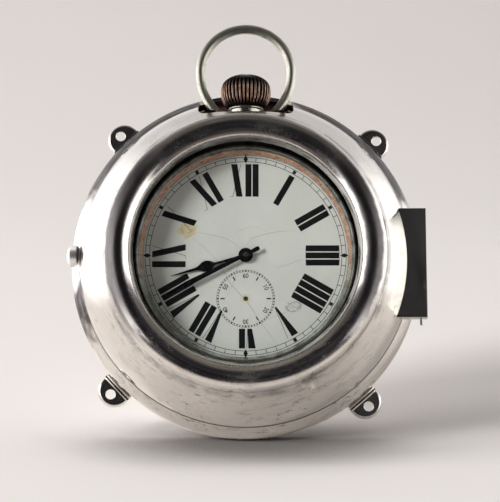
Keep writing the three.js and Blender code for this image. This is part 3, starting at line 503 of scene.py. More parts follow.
DOOR_SILVER = silver_plate("silver_door", door=True)
PAN_SILVER = silver_plate("silver_pan", door=False)
LUG_SILVER = metal("silver_lug", (0.86, 0.84, 0.80), (0.30, 0.26, 0.22),
                   rough=0.12, dirt=0.35, scale=0.35)
BUTTON_SILVER = metal("silver_button", (0.95, 0.935, 0.91), (0.62, 0.57, 0.52),
                      rough=0.45, dirt=0.2, scale=0.5, bumps=0.2, metallic=0.30)
HINGE_SILVER = metal("silver_hinge", (0.80, 0.80, 0.735), (0.34, 0.335, 0.29), rough=0.13,
                     dirt=0.35, scale=0.12, bumps=0.12, wear=0.5, streak=(2.2, 1.0, 0.12))
HINGE_CASE = metal("silver_hinge_case", (0.70, 0.69, 0.65), (0.16, 0.14, 0.12),
                   rough=0.24, dirt=0.4, scale=0.3)
GILT = metal("gilt_brass", (0.86, 0.66, 0.34), (0.30, 0.18, 0.07),
             rough=0.26, dirt=0.4, scale=0.3, bumps=0.3)
GILT_PLATE = metal("gilt_plate", (0.84, 0.65, 0.36), (0.50, 0.33, 0.14),
                   rough=0.34, dirt=0.25, scale=0.2, bumps=0.4, streak=(1.0, 1.0, 1.0))
GILT_WHEEL = metal("gilt_wheel", (0.88, 0.70, 0.38), (0.45, 0.28, 0.12),
                   rough=0.22, dirt=0.2, scale=0.5, bevel=0.05)
NICKEL = metal("nickel_case", (0.62, 0.61, 0.55), (0.22, 0.19, 0.15),
               rough=0.22, dirt=0.5, scale=0.16)
BOW_NICKEL = metal("nickel_bow", (0.58, 0.575, 0.50), (0.31, 0.30, 0.245),
                   rough=0.36, dirt=0.5, scale=0.3, bumps=0.12, wear=0.8)
STEEL = metal("steel_fine", (0.62, 0.63, 0.65), (0.25, 0.23, 0.21),
              rough=0.2, dirt=0.2, scale=0.5, bevel=0.03)
BRIGHT_STEEL = metal("steel_bright", (0.72, 0.73, 0.74), (0.30, 0.27, 0.24),
                     rough=0.14, dirt=0.2, scale=0.5, bevel=0.03)
BLACK_STEEL = metal("steel_black", (0.022, 0.022, 0.028), (0.07, 0.05, 0.045),
                    rough=0.24, dirt=0.2, scale=0.8, bevel=0.04, metallic=0.75)
CROWN_COPPER = crown_material()
BEZEL_NICKEL = bezel_material()
ENAMEL = enamel_material()
INK = paint("dial_ink", (0.008, 0.008, 0.009))
CRACK = paint("dial_crack", (0.20, 0.215, 0.185), rough=0.5)
SMEAR = paint("dial_smear", (0.60, 0.60, 0.44), rough=0.5)
CRYSTAL = glass_material()
VELVET = velvet_material()


# ------------------------------------------------------------------ objects
# A part is (vertices in watch millimetres, faces).
JOIN, CUT, KEEP = "UNION", "DIFFERENCE", "INTERSECT"


def smooth_mesh(mesh, orient=False):
    """Merge doubled vertices and shade smooth; orient also turns the faces outwards."""
    bm = bmesh.new()
    bm.from_mesh(mesh)
    bmesh.ops.remove_doubles(bm, verts=bm.verts, dist=2e-7)
    if orient:
        bmesh.ops.recalc_face_normals(bm, faces=bm.faces)
    bm.to_mesh(mesh)
    bm.free()
    mesh.polygons.foreach_set("use_smooth", [True] * len(mesh.polygons))
    mesh.update()


def new_object(name, parts):
    """One object from several parts, stood up in the frame."""
    verts, faces = [], []
    for part_verts, part_faces in parts:
        base = len(verts)
        verts += [(x / 1000.0, -z / 1000.0, y / 1000.0) for x, y, z in part_verts]
        faces += [tuple(i + base for i in face) for face in part_faces]
    mesh = bpy.data.meshes.new(name)
    mesh.from_pydata(verts, [], faces)
    ob = bpy.data.objects.new(name, mesh)
    scene.collection.objects.link(ob)
    smooth_mesh(mesh, orient=True)
    return ob


def bake(ob):
    """Replace the object's mesh with the result of its modifiers."""
    depsgraph = bpy.context.evaluated_depsgraph_get()
    mesh = bpy.data.meshes.new_from_object(ob.evaluated_get(depsgraph))
    ob.modifiers.clear()
    old = ob.data
    ob.data = mesh
    bpy.data.meshes.remove(old)
    mesh.name = ob.name


def boolean(ob, operation, part):
    cutter = new_object("cutter", [part])
    mod = ob.modifiers.new("cut", "BOOLEAN")
    mod.operation = operation
    mod.solver = "EXACT"
    mod.object = cutter
    bpy.context.view_layer.update()
    bake(ob)
    mesh = cutter.data
    bpy.data.objects.remove(cutter)
    bpy.data.meshes.remove(mesh)


def piece(name, parts, look, body="case", replaces=None, crease=35.0, steps=(), bevel=0.0,
          segments=2):
    """An object that rides on a body. steps are (operation, part) pairs, bevel is in millimetres,
    and edges sharper than crease degrees stay sharp."""
    ob = new_object(name, parts)
    ob.data.materials.append(look)
    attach(ob, body)
    if replaces:
        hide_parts(replaces)
    for operation, part in steps:
        boolean(ob, operation, part)
    if bevel:
        mod = ob.modifiers.new("edge", "BEVEL")
        mod.width = bevel / 1000.0
        mod.segments = segments
        mod.limit_method = "ANGLE"
        mod.angle_limit = radians(35)
        bake(ob)
    smooth_mesh(ob.data)
    ob.data.set_sharp_from_angle(angle=radians(crease))
    ob.data.update()
    ob.data.materials.clear()
    ob.data.materials.append(look)


def refine(cad_name, part, look, body="case", **more):
    """A detailed piece that stands in for a CAD piece."""
    piece(cad_name + "_fine", [part], look, body, replaces=cad_name, **more)


# ------------------------------------------------------------------ outlines and parts
def rounded(points, radius, steps=3, closed=False):
    """The same outline with its corners rounded."""
    pts = [Vector(p) for p in points]
    result = []
    count = len(pts)
    for i, corner in enumerate(pts):
        if not closed and i in (0, count - 1):
            result.append(tuple(corner))
            continue
        back, ahead = pts[i - 1] - corner, pts[(i + 1) % count] - corner
        back_length, ahead_length = back.length, ahead.length
        if back_length < 1e-6 or ahead_length < 1e-6:
            continue
        back, ahead = back / back_length, ahead / ahead_length
        bend = pi - acos(max(-1, min(1, back.dot(ahead))))
        if bend < radians(14):
            result.append(tuple(corner))
            continue
        reach = min(radius * tan(bend / 2), back_length * 0.45, ahead_length * 0.45)
        start, end = corner + back * reach, corner + ahead * reach
        for k in range(steps + 1):
            t = k / steps
            result.append(tuple(start * (1 - t) ** 2 + corner * 2 * t * (1 - t) + end * t * t))
    return result


def curve(points, steps):
    """A Catmull-Rom curve through the points."""
    p = [Vector(q) for q in points]
    p = [p[0] * 2 - p[1]] + p + [p[-1] * 2 - p[-2]]
    result = []
    for i in range(1, len(p) - 2):
        a, b, c, d = p[i - 1 : i + 3]
        for k in range(steps):
            t = k / steps
            cubic = (3 * b - a - 3 * c + d) * t**3
            square = (2 * a - 5 * b + 4 * c - d) * t * t
            result.append(tuple(0.5 * ((2 * b) + (c - a) * t + square + cubic)))
    result.append(tuple(p[-2]))
    return result


def lathe(profile, seg=192, closed=False, axis="Z", at=(0, 0, 0), shape=None):
    """Turned from (radius, distance along the axis) pairs. An open profile starts and ends on the
    axis. shape(radius, distance, angle) may move a point."""
    verts, rows = [], []
    for r, z in profile:
        if r < 1e-6:
            rows.append([len(verts)])
            verts.append((0.0, 0.0, z))
            continue
        row = []
        for i in range(seg):
            a = 2 * pi * i / seg
            rr, zz = shape(r, z, a) if shape else (r, z)
            row.append(len(verts))
            verts.append((rr * cos(a), rr * sin(a), zz))
        rows.append(row)
    faces = []
    for p, q in list(zip(rows, rows[1:])) + ([(rows[-1], rows[0])] if closed else []):
        if len(p) == 1 and len(q) == 1:
            continue
        for i in range(seg):
            j = (i + 1) % seg
            if len(p) == 1:
                faces.append((p[0], q[j], q[i]))
            elif len(q) == 1:
                faces.append((p[i], p[j], q[0]))
            else:
                faces.append((p[i], p[j], q[j], q[i]))
    if axis == "Y":
        verts = [(x, z, -y) for x, y, z in verts]
    elif axis == "X":
        verts = [(z, x, y) for x, y, z in verts]
    return [(x + at[0], y + at[1], z + at[2]) for x, y, z in verts], faces


def slab(outline, z0, z1, chamfer=0.0, steps=2, bottom=True):
    """A flat piece between z0 and z1 with a rounded top rim, and bottom rim unless bottom is off."""
    n = len(outline)
    ends = zip(outline, outline[1:] + outline[:1])
    area = sum(p[0] * q[1] - q[0] * p[1] for p, q in ends)
    pts = [Vector(p) for p in (outline if area > 0 else outline[::-1])]
    normals = []
    for i in range(n):
        before, after = pts[i] - pts[i - 1], pts[(i + 1) % n] - pts[i]
        before = before.normalized() if before.length > 1e-9 else Vector((1, 0))
        after = after.normalized() if after.length > 1e-9 else before
        along = before + after
        along = along.normalized() if along.length > 1e-6 else before
        mitre = 1.0 / max(0.45, along.dot(before))
        normals.append(Vector((-along.y, along.x)) * min(mitre, 1.6))
    turns = [pi / 2 * k / steps for k in range(steps + 1)]
    if chamfer and bottom:
        levels = [(chamfer * (1 - sin(a)), z0 + chamfer * (1 - cos(a))) for a in turns]
    else:
        levels = [(0.0, z0)]
    if chamfer:
        levels += [(chamfer * (1 - cos(a)), z1 - chamfer * (1 - sin(a))) for a in turns]
    else:
        levels.append((0.0, z1))
    verts, faces = [], []
    for inset, z in levels:
        verts += [(p.x + m.x * inset, p.y + m.y * inset, z) for p, m in zip(pts, normals)]
    top = (len(levels) - 1) * n
    for base in range(0, top, n):
        for i in range(n):
            j = (i + 1) % n
            faces.append((base + i, base + j, base + n + j, base + n + i))
    faces.append(tuple(range(n - 1, -1, -1)))
    faces.append(tuple(top + i for i in range(n)))
    return verts, faces


def box(x0, x1, y0, y1, z0, z1, chamfer=0.0):
    return slab([(x0, y0), (x1, y0), (x1, y1), (x0, y1)], z0, z1, chamfer, 3)


def spin(part, angle):
    """The part turned anticlockwise about Z by an angle in degrees."""
    verts, faces = part
    c, s = cos(radians(angle)), sin(radians(angle))
    return [(x * c - y * s, x * s + y * c, z) for x, y, z in verts], faces


def rod_profile(radius, start, end, edge):
    return rounded([(0, start), (radius, start), (radius, end), (0, end)], edge)


def rod_x(radius, x0, x1, y, z, seg=48, edge=0.05):
    return lathe(rod_profile(radius, x0, x1, edge), seg, axis="X", at=(0, y, z))


def rod_y(radius, y0, y1, x, z, seg=48, edge=0.05):
    return lathe(rod_profile(radius, y0, y1, edge), seg, axis="Y", at=(x, 0, z))


def sweep(points, radius, seg):
    """A round wire along points."""
    path = [Vector(p) for p in points]
    n = len(path)
    verts, faces = [], []
    for i, p in enumerate(path):
        along = (path[min(i + 1, n - 1)] - path[max(i - 1, 0)]).normalized()
        side = along.cross(Vector((0, 0, 1))).normalized()
        up = side.cross(along).normalized()
        for k in range(seg):
            a = 2 * pi * k / seg
            verts.append(tuple(p + (side * cos(a) + up * sin(a)) * radius))
    for i in range(n - 1):
        for k in range(seg):
            m = (k + 1) % seg
            faces.append((i * seg + k, i * seg + m, (i + 1) * seg + m, (i + 1) * seg + k))
    faces.append(tuple(range(seg - 1, -1, -1)))
    faces.append(tuple((n - 1) * seg + k for k in range(seg)))
    return verts, faces


# ------------------------------------------------------------------ case
# (radius, z) up the outside of the pan and down its inside
pan_outer = curve([(46.0, 0), (47.7, 0.55), (48.6, 1.5), (49.05, 3.0), (49.3, 4.8), (48.95, 7.0),
                   (47.8, 9.2), (46.4, PAN_TOP)], 5)
pan_inner = curve([(45.3, PAN_TOP), (46.7, 9.0), (47.75, 6.9), (48.2, 4.8), (47.6, 2.6),
                   (45.7, 1.2)], 4)
# solid that trims whatever is fitted to the pan
pan_full = lathe([(0, -0.6), (46.0 + CLEARANCE, -0.6)]
                 + [(r + CLEARANCE, z) for r, z in pan_outer] + [(0, PAN_TOP)])
catch_notch = box(-45.5, -40, CATCH_Y - 6.6, CATCH_Y + 6.6, 6.0, 14)
piece("case_pan", [lathe([(0, 0), (44.0, 0)] + pan_outer + pan_inner + [(30, 1.2), (0, 1.2)], 256)],
      PAN_SILVER, replaces="case_body", crease=30, steps=[
          (JOIN, rod_x(3.05, -49.35, -47.4, CATCH_Y, CATCH_Z, 64, 0.2)),  # collar of the catch
          (CUT, box(-PENDANT_GAP, PENDANT_GAP, 36, 60, 5.6, 20)),
          (CUT, rod_x(2.7, -60, -48.55, CATCH_Y, CATCH_Z)),
          (CUT, rod_x(1.35, -60, -40, CATCH_Y, CATCH_Z)),
          (CUT, catch_notch)])

# rebate ring: one loop, parted into the upper left quarter and the rest
rebate_loop = rounded([(43.5, 9.4), (45.12, 9.4), (45.12, 10.6), (44.75, PAN_TOP), (44.8, 11.85),
                       (43.5, 11.85)], 0.18, closed=True)
for name, operation in (("rebate_ring_short", KEEP), ("rebate_ring_long", CUT)):
    refine(name, lathe(rebate_loop, 224, closed=True), GILT, bevel=0.12, steps=[
        (CUT, box(-11.9, 11.9, 36, 60, 5, 20)),
        (CUT, box(-46, -40, CATCH_Y - 6.6, CATCH_Y + 6.6, 6.0, 14)),
        (operation, box(-60, 0, 0, 60, 0, 20))])

# four fixing lugs, drawn at three o'clock; the rounded end is flattened a little along the chord
LUG_HALF = 4.7
LUG_ROOT, LUG_ROUND_X, LUG_REACH = 46.6, 50.6, 5.2
LUG_ANGLES = {"lug_top_right": 44.4, "lug_top_left": 133.4,
              "lug_bottom_left": 223.7, "lug_bottom_right": 311.0}
lug_outline = [(LUG_ROOT, -LUG_HALF), (LUG_ROUND_X, -LUG_HALF)]
for k in range(1, 25):
    turn = radians(-90 + 180 * k / 24)
    lug_outline.append((LUG_ROUND_X + LUG_REACH * cos(turn) ** 0.86, LUG_HALF * sin(turn)))
lug_outline.append((LUG_ROOT, LUG_HALF))
# ridge section as (x, z), laid across the lug where it meets the pan
ridge = slab([(0, 1.0), (1.5, 1.0), (1.15, 1.84), (0.98, 1.9), (0.52, 1.9), (0.35, 1.84)],
             -LUG_HALF, LUG_HALF, 0.12, 3)
ridge = [(x + 49.35, -z, y) for x, y, z in ridge[0]], ridge[1]
screw_hole = lathe([(0, -1), (1.3, -1), (1.3, 1.0), (1.45, 1.2), (1.5, 2), (0, 2)], 56,
                   at=(52.7, 0, 0))
for name, angle in LUG_ANGLES.items():
    refine(name, spin(slab(lug_outline, 0.0, 1.2, 0.85, 9, bottom=False), angle), LUG_SILVER,
           crease=40,
           steps=[(JOIN, spin(ridge, angle)), (CUT, spin(screw_hole, angle)), (CUT, pan_full)])

# ------------------------------------------------------------------ door
# (radius, z) up the outer flange, over the bead, back under it and down inside the flange
BEAD_RADIUS, BEAD_Z = 34.5, 27.5


def bead(half_width, half_height, start, end, count):
    turns = [radians(t) for t in np.linspace(start, end, count)]
    return [(BEAD_RADIUS + half_width * cos(t), BEAD_Z + half_height * sin(t)) for t in turns]


flange = curve([(46.4, DOOR_FOOT), (45.6, 14.0), (44.2, 17.0), (42.2, 20.3), (40.3, 23.4),
                (38.75, 25.9)], 5)
flange_in = curve([(37.7, 25.3), (39.6, 22.3), (41.7, 19.3), (43.3, 16.6), (44.5, 14.1),
                   (45.5, DOOR_FOOT)], 4)
door_loop = flange + bead(3.98, 4.2, -12, 200, 47)[1:] + bead(3.12, 3.3, 200, -20, 31) + flange_in
door_full = lathe([(0, DOOR_FOOT)] + [(r + CLEARANCE, z) for r, z in flange] + [(0, 27.0)])

# slot over the pendant: straight sides and a foot with rounded corners
SLOT_FOOT, SLOT_CORNER, SLOT_END = 39.8, 2.3, 60
slot = [(-PENDANT_GAP, SLOT_END)]
for side, first in ((-1, 180), (1, 270)):
    for a in range(first, first + 91, 9):
        slot.append((side * (PENDANT_GAP - SLOT_CORNER) + SLOT_CORNER * cos(radians(a)),
                     SLOT_FOOT + SLOT_CORNER + SLOT_CORNER * sin(radians(a))))
slot.append((PENDANT_GAP, SLOT_END))
refine("door_bezel", lathe(door_loop, 256, closed=True), DOOR_SILVER, "door", crease=30,
       steps=[(CUT, slab(slot, 8, 30))])

# hinge: the door's leaf with a cheek at each end, the case's leaf with its knuckle, and the pin
LEAF_HALF, CHEEK_IN, KNUCKLE_HALF = 15.4, 14.2, 13.9
LEAF_X = 50.2
leaf_low, leaf_high = HINGE_Y - LEAF_HALF, HINGE_Y + LEAF_HALF
knuckle_low, knuckle_high = HINGE_Y - KNUCKLE_HALF, HINGE_Y + KNUCKLE_HALF
pin_bore = rod_y(0.5, -20, 20, HINGE_X, HINGE_Z, 32)
leaf = slab([(40.0, leaf_low), (LEAF_X, leaf_low), (LEAF_X, leaf_high), (40.0, leaf_high)],
            14.7, 16.0, 0.42)
refine("hinge_leaf_door", leaf, HINGE_SILVER, "door", crease=32, steps=[
    (JOIN, box(42.0, LEAF_X, leaf_low, HINGE_Y - CHEEK_IN, 11.8, 15.5, 0.14)),
    (JOIN, box(42.0, LEAF_X, HINGE_Y + CHEEK_IN, leaf_high, 11.8, 15.5, 0.14)),
    (CUT, door_full), (CUT, pin_bore)])
refine("hinge_leaf_case", box(44.0, 49.0, knuckle_low, knuckle_high, 8.2, 11.15, 0.15), HINGE_CASE,
       crease=32, steps=[
           (JOIN, rod_y(1.25, knuckle_low, knuckle_high, HINGE_X, HINGE_Z, 48, 0.12)),
           (CUT, pan_full), (CUT, pin_bore)])
refine("hinge_pin", rod_y(0.45, HINGE_Y - 17.1, HINGE_Y + 15.9, HINGE_X, HINGE_Z, 32, 0.12), STEEL)

# catch button: a domed head on a stem, as (radius, x)
BUTTON_RADIUS, BUTTON_X = 2.52, -49.3
button = [(BUTTON_RADIUS * sin(radians(t)), BUTTON_X - 1.1 * cos(radians(t)))
          for t in range(0, 91, 6)]
button += rounded([(BUTTON_RADIUS, BUTTON_X), (2.45, -49.15), (1.2, -49.15), (1.2, -45.3),
                   (0, -45.3)], 0.1)[1:]
refine("catch_button", lathe(button, 72, axis="X", at=(0, CATCH_Y, CATCH_Z)), BUTTON_SILVER,
       "catch", crease=40)

# velvet seat for the watch
SEAT_FLOOR = 1.35
seat_loop = rounded([(34.3, SEAT_FLOOR), (43.3, SEAT_FLOOR), (43.3, 14.4), (34.3, 14.4)], 0.8, 5,
                    closed=True)
refine("seat_ring", lathe(seat_loop, 160, closed=True), VELVET, bevel=0.3, segments=3, steps=[
    (CUT, box(-12.6, 12.6, 28, 50, 5.6, 20)),
    (CUT, box(-50, -41.7, CATCH_Y - 7.2, CATCH_Y + 7.2, 4.6, 20))])
pad = rounded([(0, SEAT_FLOOR), (31.0, SEAT_FLOOR), (31.0, 4.3), (0, 4.3)], 0.5, 4)
refine("seat_pad", lathe(pad, 128), VELVET)

# ------------------------------------------------------------------ watch case
side_wall = curve([(33.1, 8.45), (33.52, 10.8), (33.7, 13.5), (33.52, 16.3), (33.1, 19.1)], 5)
refine("watch_middle", lathe([(30.6, 8.45)] + side_wall + [(30.6, 19.1)], closed=True), NICKEL,
       crease=32, steps=[
           (CUT, rod_y(4.5, 28, 40, 0, WATCH_Z, 64)),
           (CUT, spin(rod_y(0.75, 28, 40, 0, WATCH_Z, 24), PIN_TURN))])
bezel_loop = [(30.9, 19.2), (33.2, 19.2), (33.3, 20.3), (32.85, 21.35), (32.0, 22.2),
              (30.9, 23.05), (29.95, 23.62), (29.62, 23.6), (29.5, 22.7), (29.2, 22.7),
              (28.0, 20.14), (30.9, 20.14)]
refine("watch_bezel", lathe(rounded(bezel_loop, 0.14, closed=True), 256, closed=True),
       BEZEL_NICKEL, crease=30)

# crystal
CRYSTAL_RADIUS, CRYSTAL_EDGE_Z, CRYSTAL_RISE, CRYSTAL_THICK = 29.35, 23.4, 2.9, 0.85


def dome(radius):
    return CRYSTAL_EDGE_Z + CRYSTAL_RISE * (1 - (radius / CRYSTAL_RADIUS) ** 2)


under = [(r, dome(r) - CRYSTAL_THICK) for r in np.linspace(0, 28.0, 22)]
crystal_rim = [(28.7, 22.78), (29.3, 22.78), (CRYSTAL_RADIUS, 22.9), (CRYSTAL_RADIUS, 23.32)]
over = [(r, dome(r)) for r in np.linspace(29.25, 0, 26)]
refine("crystal", lathe(under + crystal_rim + over), CRYSTAL, crease=50)

# hollow back and the dust cover over the movement
back_outer = curve([(0, 4.6), (9, 4.75), (17, 5.1), (23, 5.6), (28, 6.3), (31.5, 7.3),
                    (33.2, 8.33)], 4)
back_inner = curve([(31.9, 8.35), (27.6, 7.05), (22.5, 6.35), (17, 5.85), (9, 5.48),
                    (0, 5.35)], 4)
refine("watch_back", lathe(back_outer + back_inner), NICKEL, crease=32)
cover = rounded([(0, 8.35), (30.2, 8.35), (30.2, 8.8), (0, 8.8)], 0.1)
refine("dust_cover", lathe(cover, 160), GILT_PLATE, crease=32)

# pendant as (radius, y), drilled on both sides for the bow screws
neck = rounded([(1.3, 31.2), (4.4, 31.2), (4.4, 39.3), (4.8, 39.75), (4.85, 42.3), (5.15, 42.75),
                (4.95, 43.22), (1.3, 43.25)], 0.3, 5, closed=True)
refine("pendant", lathe(neck, 96, closed=True, axis="Y", at=(0, 0, WATCH_Z)), NICKEL, steps=[
    (CUT, rod_x(0.75, -8, -2.6, BOW_Y, WATCH_Z, 24)),
    (CUT, rod_x(0.75, 2.6, 8, BOW_Y, WATCH_Z, 24))])

# setting pin in its olive
olive = rounded([(0.75, 33.85), (1.9, 33.85), (1.9, 35.15), (1.45, 35.6), (0.75, 35.6)], 0.3, 4,
                closed=True)
olive = lathe(olive, 48, closed=True, axis="Y", at=(0, 0, WATCH_Z))
refine("set_olive", spin(olive, PIN_TURN), NICKEL)
set_pin = rod_y(0.65, 30.45, 37.2, 0, WATCH_Z, 40, 0.25)
refine("set_pin", spin(set_pin, PIN_TURN), STEEL, "set_pin")

# bow screws with a slit in the head, as (radius, distance from the middle)
screw = rounded([(0, 2.9), (0.66, 2.9), (0.66, 8.0), (1.3, 8.0), (1.3, 8.55), (1.0, 8.7),
                 (0, 8.7)], 0.1)
for side, name in ((-1, "bow_screw_left"), (1, "bow_screw_right")):
    slit_x0, slit_x1 = sorted((8.45 * side, 9 * side))
    slit = box(slit_x0, slit_x1, BOW_Y - 2, BOW_Y + 2, WATCH_Z - 0.16, WATCH_Z + 0.16)
    profile = [(r, x * side) for r, x in screw]
    refine(name, lathe(profile, 48, axis="X", at=(0, BOW_Y, WATCH_Z)), STEEL, steps=[(CUT, slit)])

# bow: a wire ring, longer below its middle, that ends in two drilled eyes
BOW_RADIUS, BOW_DROP, BOW_CENTRE_Y, BOW_FOOT_X = 12.9, 15.0, 53.65, 7.0
EYE_IN, EYE_OUT = 5.0, 7.9
overrun = degrees(acos(BOW_FOOT_X / BOW_RADIUS))
path = []
for i in range(121):
    t = radians(-overrun + (180 + 2 * overrun) * i / 120)
    reach = BOW_DROP if sin(t) < 0 else BOW_RADIUS
    path.append((BOW_RADIUS * cos(t), BOW_CENTRE_Y + reach * sin(t), WATCH_Z))


def eye(x0, x1):
    profile = rounded([(0, x0), (1.65, x0), (1.65, x1), (0, x1)], 0.3, 4)
    return lathe(profile, 56, axis="X", at=(0, BOW_Y, WATCH_Z))


refine("bow", sweep(path, 1.35, 36), BOW_NICKEL, "bow", crease=38, steps=[
    (JOIN, eye(EYE_IN, EYE_OUT)),
    (JOIN, eye(-EYE_OUT, -EYE_IN)),
    (CUT, rod_x(0.75, -10, 10, BOW_Y, WATCH_Z, 24)),
    (CUT, rod_x(2.6, -EYE_IN, EYE_IN, BOW_Y, WATCH_Z, 24, 0.01)),
    (CUT, rod_x(2.0, EYE_OUT, 12, BOW_Y, WATCH_Z, 32, 0.01)),
    (CUT, rod_x(2.0, -12, -EYE_OUT, BOW_Y, WATCH_Z, 32, 0.01))])

# crown: a fluted bun as (radius, height over its foot)
FLUTES = 38
FLUTE_DEPTH = 0.55


def flute(radius, height, angle):
    t = max(0.0, min(1.0, (radius - 1.0) / 2.6))
    fade = t * t * (3 - 2 * t)  # the flutes die out towards the axis
    foot = max(0.0, min(1.0, height / 0.7))
    wave = (0.5 - 0.5 * cos(FLUTES * angle)) ** 1.6
    return radius - FLUTE_DEPTH * wave * fade * (0.35 + 0.65 * foot), height


bun = [(0.0, 0.0), (3.2, 0.0)] + curve([
    (5.1, 0.02), (5.9, 0.6), (6.5, 1.5), (6.86, 2.6), (7.02, 3.9), (7.05, 5.1), (6.8, 6.3),
    (6.2, 7.4), (5.3, 8.2), (4.2, 8.8), (3.0, 9.2), (1.6, 9.43), (0.0, 9.5)], 5)
refine("crown", lathe(bun, FLUTES * 10, axis="Y", at=(0, CROWN_FOOT, WATCH_Z), shape=flute),
       CROWN_COPPER, "crown", crease=60)
refine("winding_stem", rod_y(0.9, 23.2, 43.6, 0, WATCH_Z, 40, 0.1), STEEL, "crown")

# ------------------------------------------------------------------ dial
dial_loop = [(1.75, 19.4), (DIAL_RADIUS, 19.4), (DIAL_RADIUS, 19.92), (29.9, DIAL_TOP),
             (1.82, DIAL_TOP), (1.75, 19.95)]
arbor_hole = lathe([(0, 19), (0.649, 19), (0.65, 19.001), (0.65, 20.999), (0.649, 21), (0, 21)],
                   40, at=(0, SECONDS_Y, 0))
refine("dial", lathe(dial_loop, 224, closed=True), ENAMEL, crease=30, steps=[(CUT, arbor_hole)])

# print: thin slabs that start just under the enamel
PRINT_FOOT, PRINT_TOP = DIAL_TOP - 0.01, DIAL_TOP + 0.012
BAR, HAIR = 1.66, 0.12  # widths of a numeral's thick and thin strokes
NUMERAL_IN, NUMERAL_OUT = 16.5, 25.7
SIX_IN = 20.3  # the six is cut short by the seconds dial
TRACK_IN, TRACK_OUT = 26.4, 27.6
SECONDS_IN, SECONDS_OUT = 7.45, 7.95
ink = []


def ring_line(radius, width, y=0, seg=256):
    r0, r1 = radius - width / 2, radius + width / 2
    profile = [(r0, PRINT_FOOT), (r1, PRINT_FOOT), (r1, PRINT_TOP), (r0, PRINT_TOP)]
    ink.append(lathe(profile, seg, closed=True, at=(0, y, 0)))


def at_angle(angle, along, radius):
    """along the clockwise tangent, radius from the centre, angle in degrees clockwise from XII."""
    c, s = cos(radians(angle)), sin(radians(angle))
    return radius * s + along * c, radius * c - along * s


def patch(angle, corners, centre_y=0.0):
    """A flat shape from (along, radius) corners."""
    points = [at_angle(angle, *corner) for corner in corners]
    ink.append(slab([(x, y + centre_y) for x, y in points], PRINT_FOOT, PRINT_TOP))


def block(angle, start, end, r_in, r_out, centre_y=0.0):
    patch(angle, [(start, r_in), (end, r_in), (end, r_out), (start, r_out)], centre_y)


def stroke(angle, foot, head, foot_width, head_width, r_in=NUMERAL_IN):
    """A stroke whose inner end is at foot and outer end at head, both along the tangent."""
    patch(angle, [(foot - foot_width / 2, r_in), (foot + foot_width / 2, r_in),
                  (head + head_width / 2, NUMERAL_OUT), (head - head_width / 2, NUMERAL_OUT)])


def bar(angle, along, r_in=NUMERAL_IN):
    stroke(angle, along, along, BAR, BAR, r_in)


def serif(angle, start, end, radius):
    block(angle, start, end, radius - 0.045, radius + 0.045)


def five(angle, head, foot, right, r_in=NUMERAL_IN, tip=0.5):
    stroke(angle, foot, head, tip, 2.0, r_in)
    stroke(angle, foot + tip / 2 - 0.05, right, HAIR, HAIR, r_in)


def ten(angle, head, foot):
    stroke(angle, foot, head, BAR + 0.05, BAR + 0.05)
    stroke(angle, head - 0.4, foot + 0.4, HAIR, HAIR)
    serif(angle, head - 1.2, head - 0.3, NUMERAL_IN)


# I to IIII: angle and the places of the bars
for angle, places in ((30, (0,)), (60, (-0.99, 0.99)), (90, (-1.98, 0, 1.98)),
                      (120, (-2.97, -0.99, 0.99, 2.97))):
    for along in places:
        bar(angle, along)
    if len(places) > 1:
        for radius in (NUMERAL_IN, NUMERAL_OUT):
            serif(angle, places[0], places[-1], radius)
# V to XII
five(150, head=-0.7, foot=0.15, right=1.5)
five(180, head=-1.75, foot=-1.1, right=-0.3, r_in=SIX_IN, tip=1.25)
bar(180, 1.0, SIX_IN)
five(210, head=-3.0, foot=-2.0, right=-1.3)
bar(210, 0.35)
bar(210, 2.35)
five(240, head=-4.2, foot=-3.1, right=-2.4)
for along in (-0.95, 1.03, 3.01):
    bar(240, along)
bar(270, -2.45)
ten(270, head=0.3, foot=2.3)
ten(300, head=-1.15, foot=0.85)
ten(330, head=-2.3, foot=-0.4)
bar(330, 1.75)
ten(0, head=-3.2, foot=-1.75)
bar(0, 0.75)
bar(0, 2.73)

# minute track: diamonds at the quarters, blocks at the other hours, thin ticks between
ring_line(TRACK_IN, 0.15)
ring_line(TRACK_OUT, 0.15)
for k in range(60):
    if k % 15 == 0:
        patch(6 * k, [(0, 25.95), (0.62, 27.05), (0, 28.35), (-0.62, 27.05)])
    elif k % 5 == 0:
        block(6 * k, -0.46, 0.46, 26.5, 27.45)
    else:
        block(6 * k, -0.085, 0.085, TRACK_IN, TRACK_OUT)

# seconds track
ring_line(SECONDS_IN, 0.07, SECONDS_Y, 128)
ring_line(SECONDS_OUT, 0.07, SECONDS_Y, 128)
for k in range(60):
    half = 0.11 if k % 5 else 0.2
    block(6 * k, -half, half, SECONDS_IN, SECONDS_OUT, SECONDS_Y)
for k in (1, 3, 5, 7, 9, 11):
    block(30 * k, -0.17, 0.17, 5.75, 6.95, SECONDS_Y)


def seconds_numeral(label, angle):
    text = bpy.data.curves.new("numeral", "FONT")
    text.body = label
    text.size = 1.75
    text.align_x = "CENTER"
    text.align_y = "CENTER"
    text.extrude = 0.011
    text.resolution_u = 4
    text.offset = 0.02
    ob = bpy.data.objects.new("numeral", text)
    scene.collection.objects.link(ob)
    depsgraph = bpy.context.evaluated_depsgraph_get()
    mesh = bpy.data.meshes.new_from_object(ob.evaluated_get(depsgraph))
    verts = []
    for vert in mesh.vertices:
        x, y = at_angle(angle, vert.co.x * 0.92, 6.3 + vert.co.y)
        verts.append((x, y + SECONDS_Y, DIAL_TOP + 0.001 + vert.co.z))
    faces = [tuple(polygon.vertices) for polygon in mesh.polygons]
    bpy.data.objects.remove(ob)
    bpy.data.curves.remove(text)
    bpy.data.meshes.remove(mesh)
    return verts, faces


for k, label in enumerate(("60", "10", "20", "30", "40", "50")):
    ink.append(seconds_numeral(label, 60 * k))
piece("dial_print", ink, INK, crease=30)


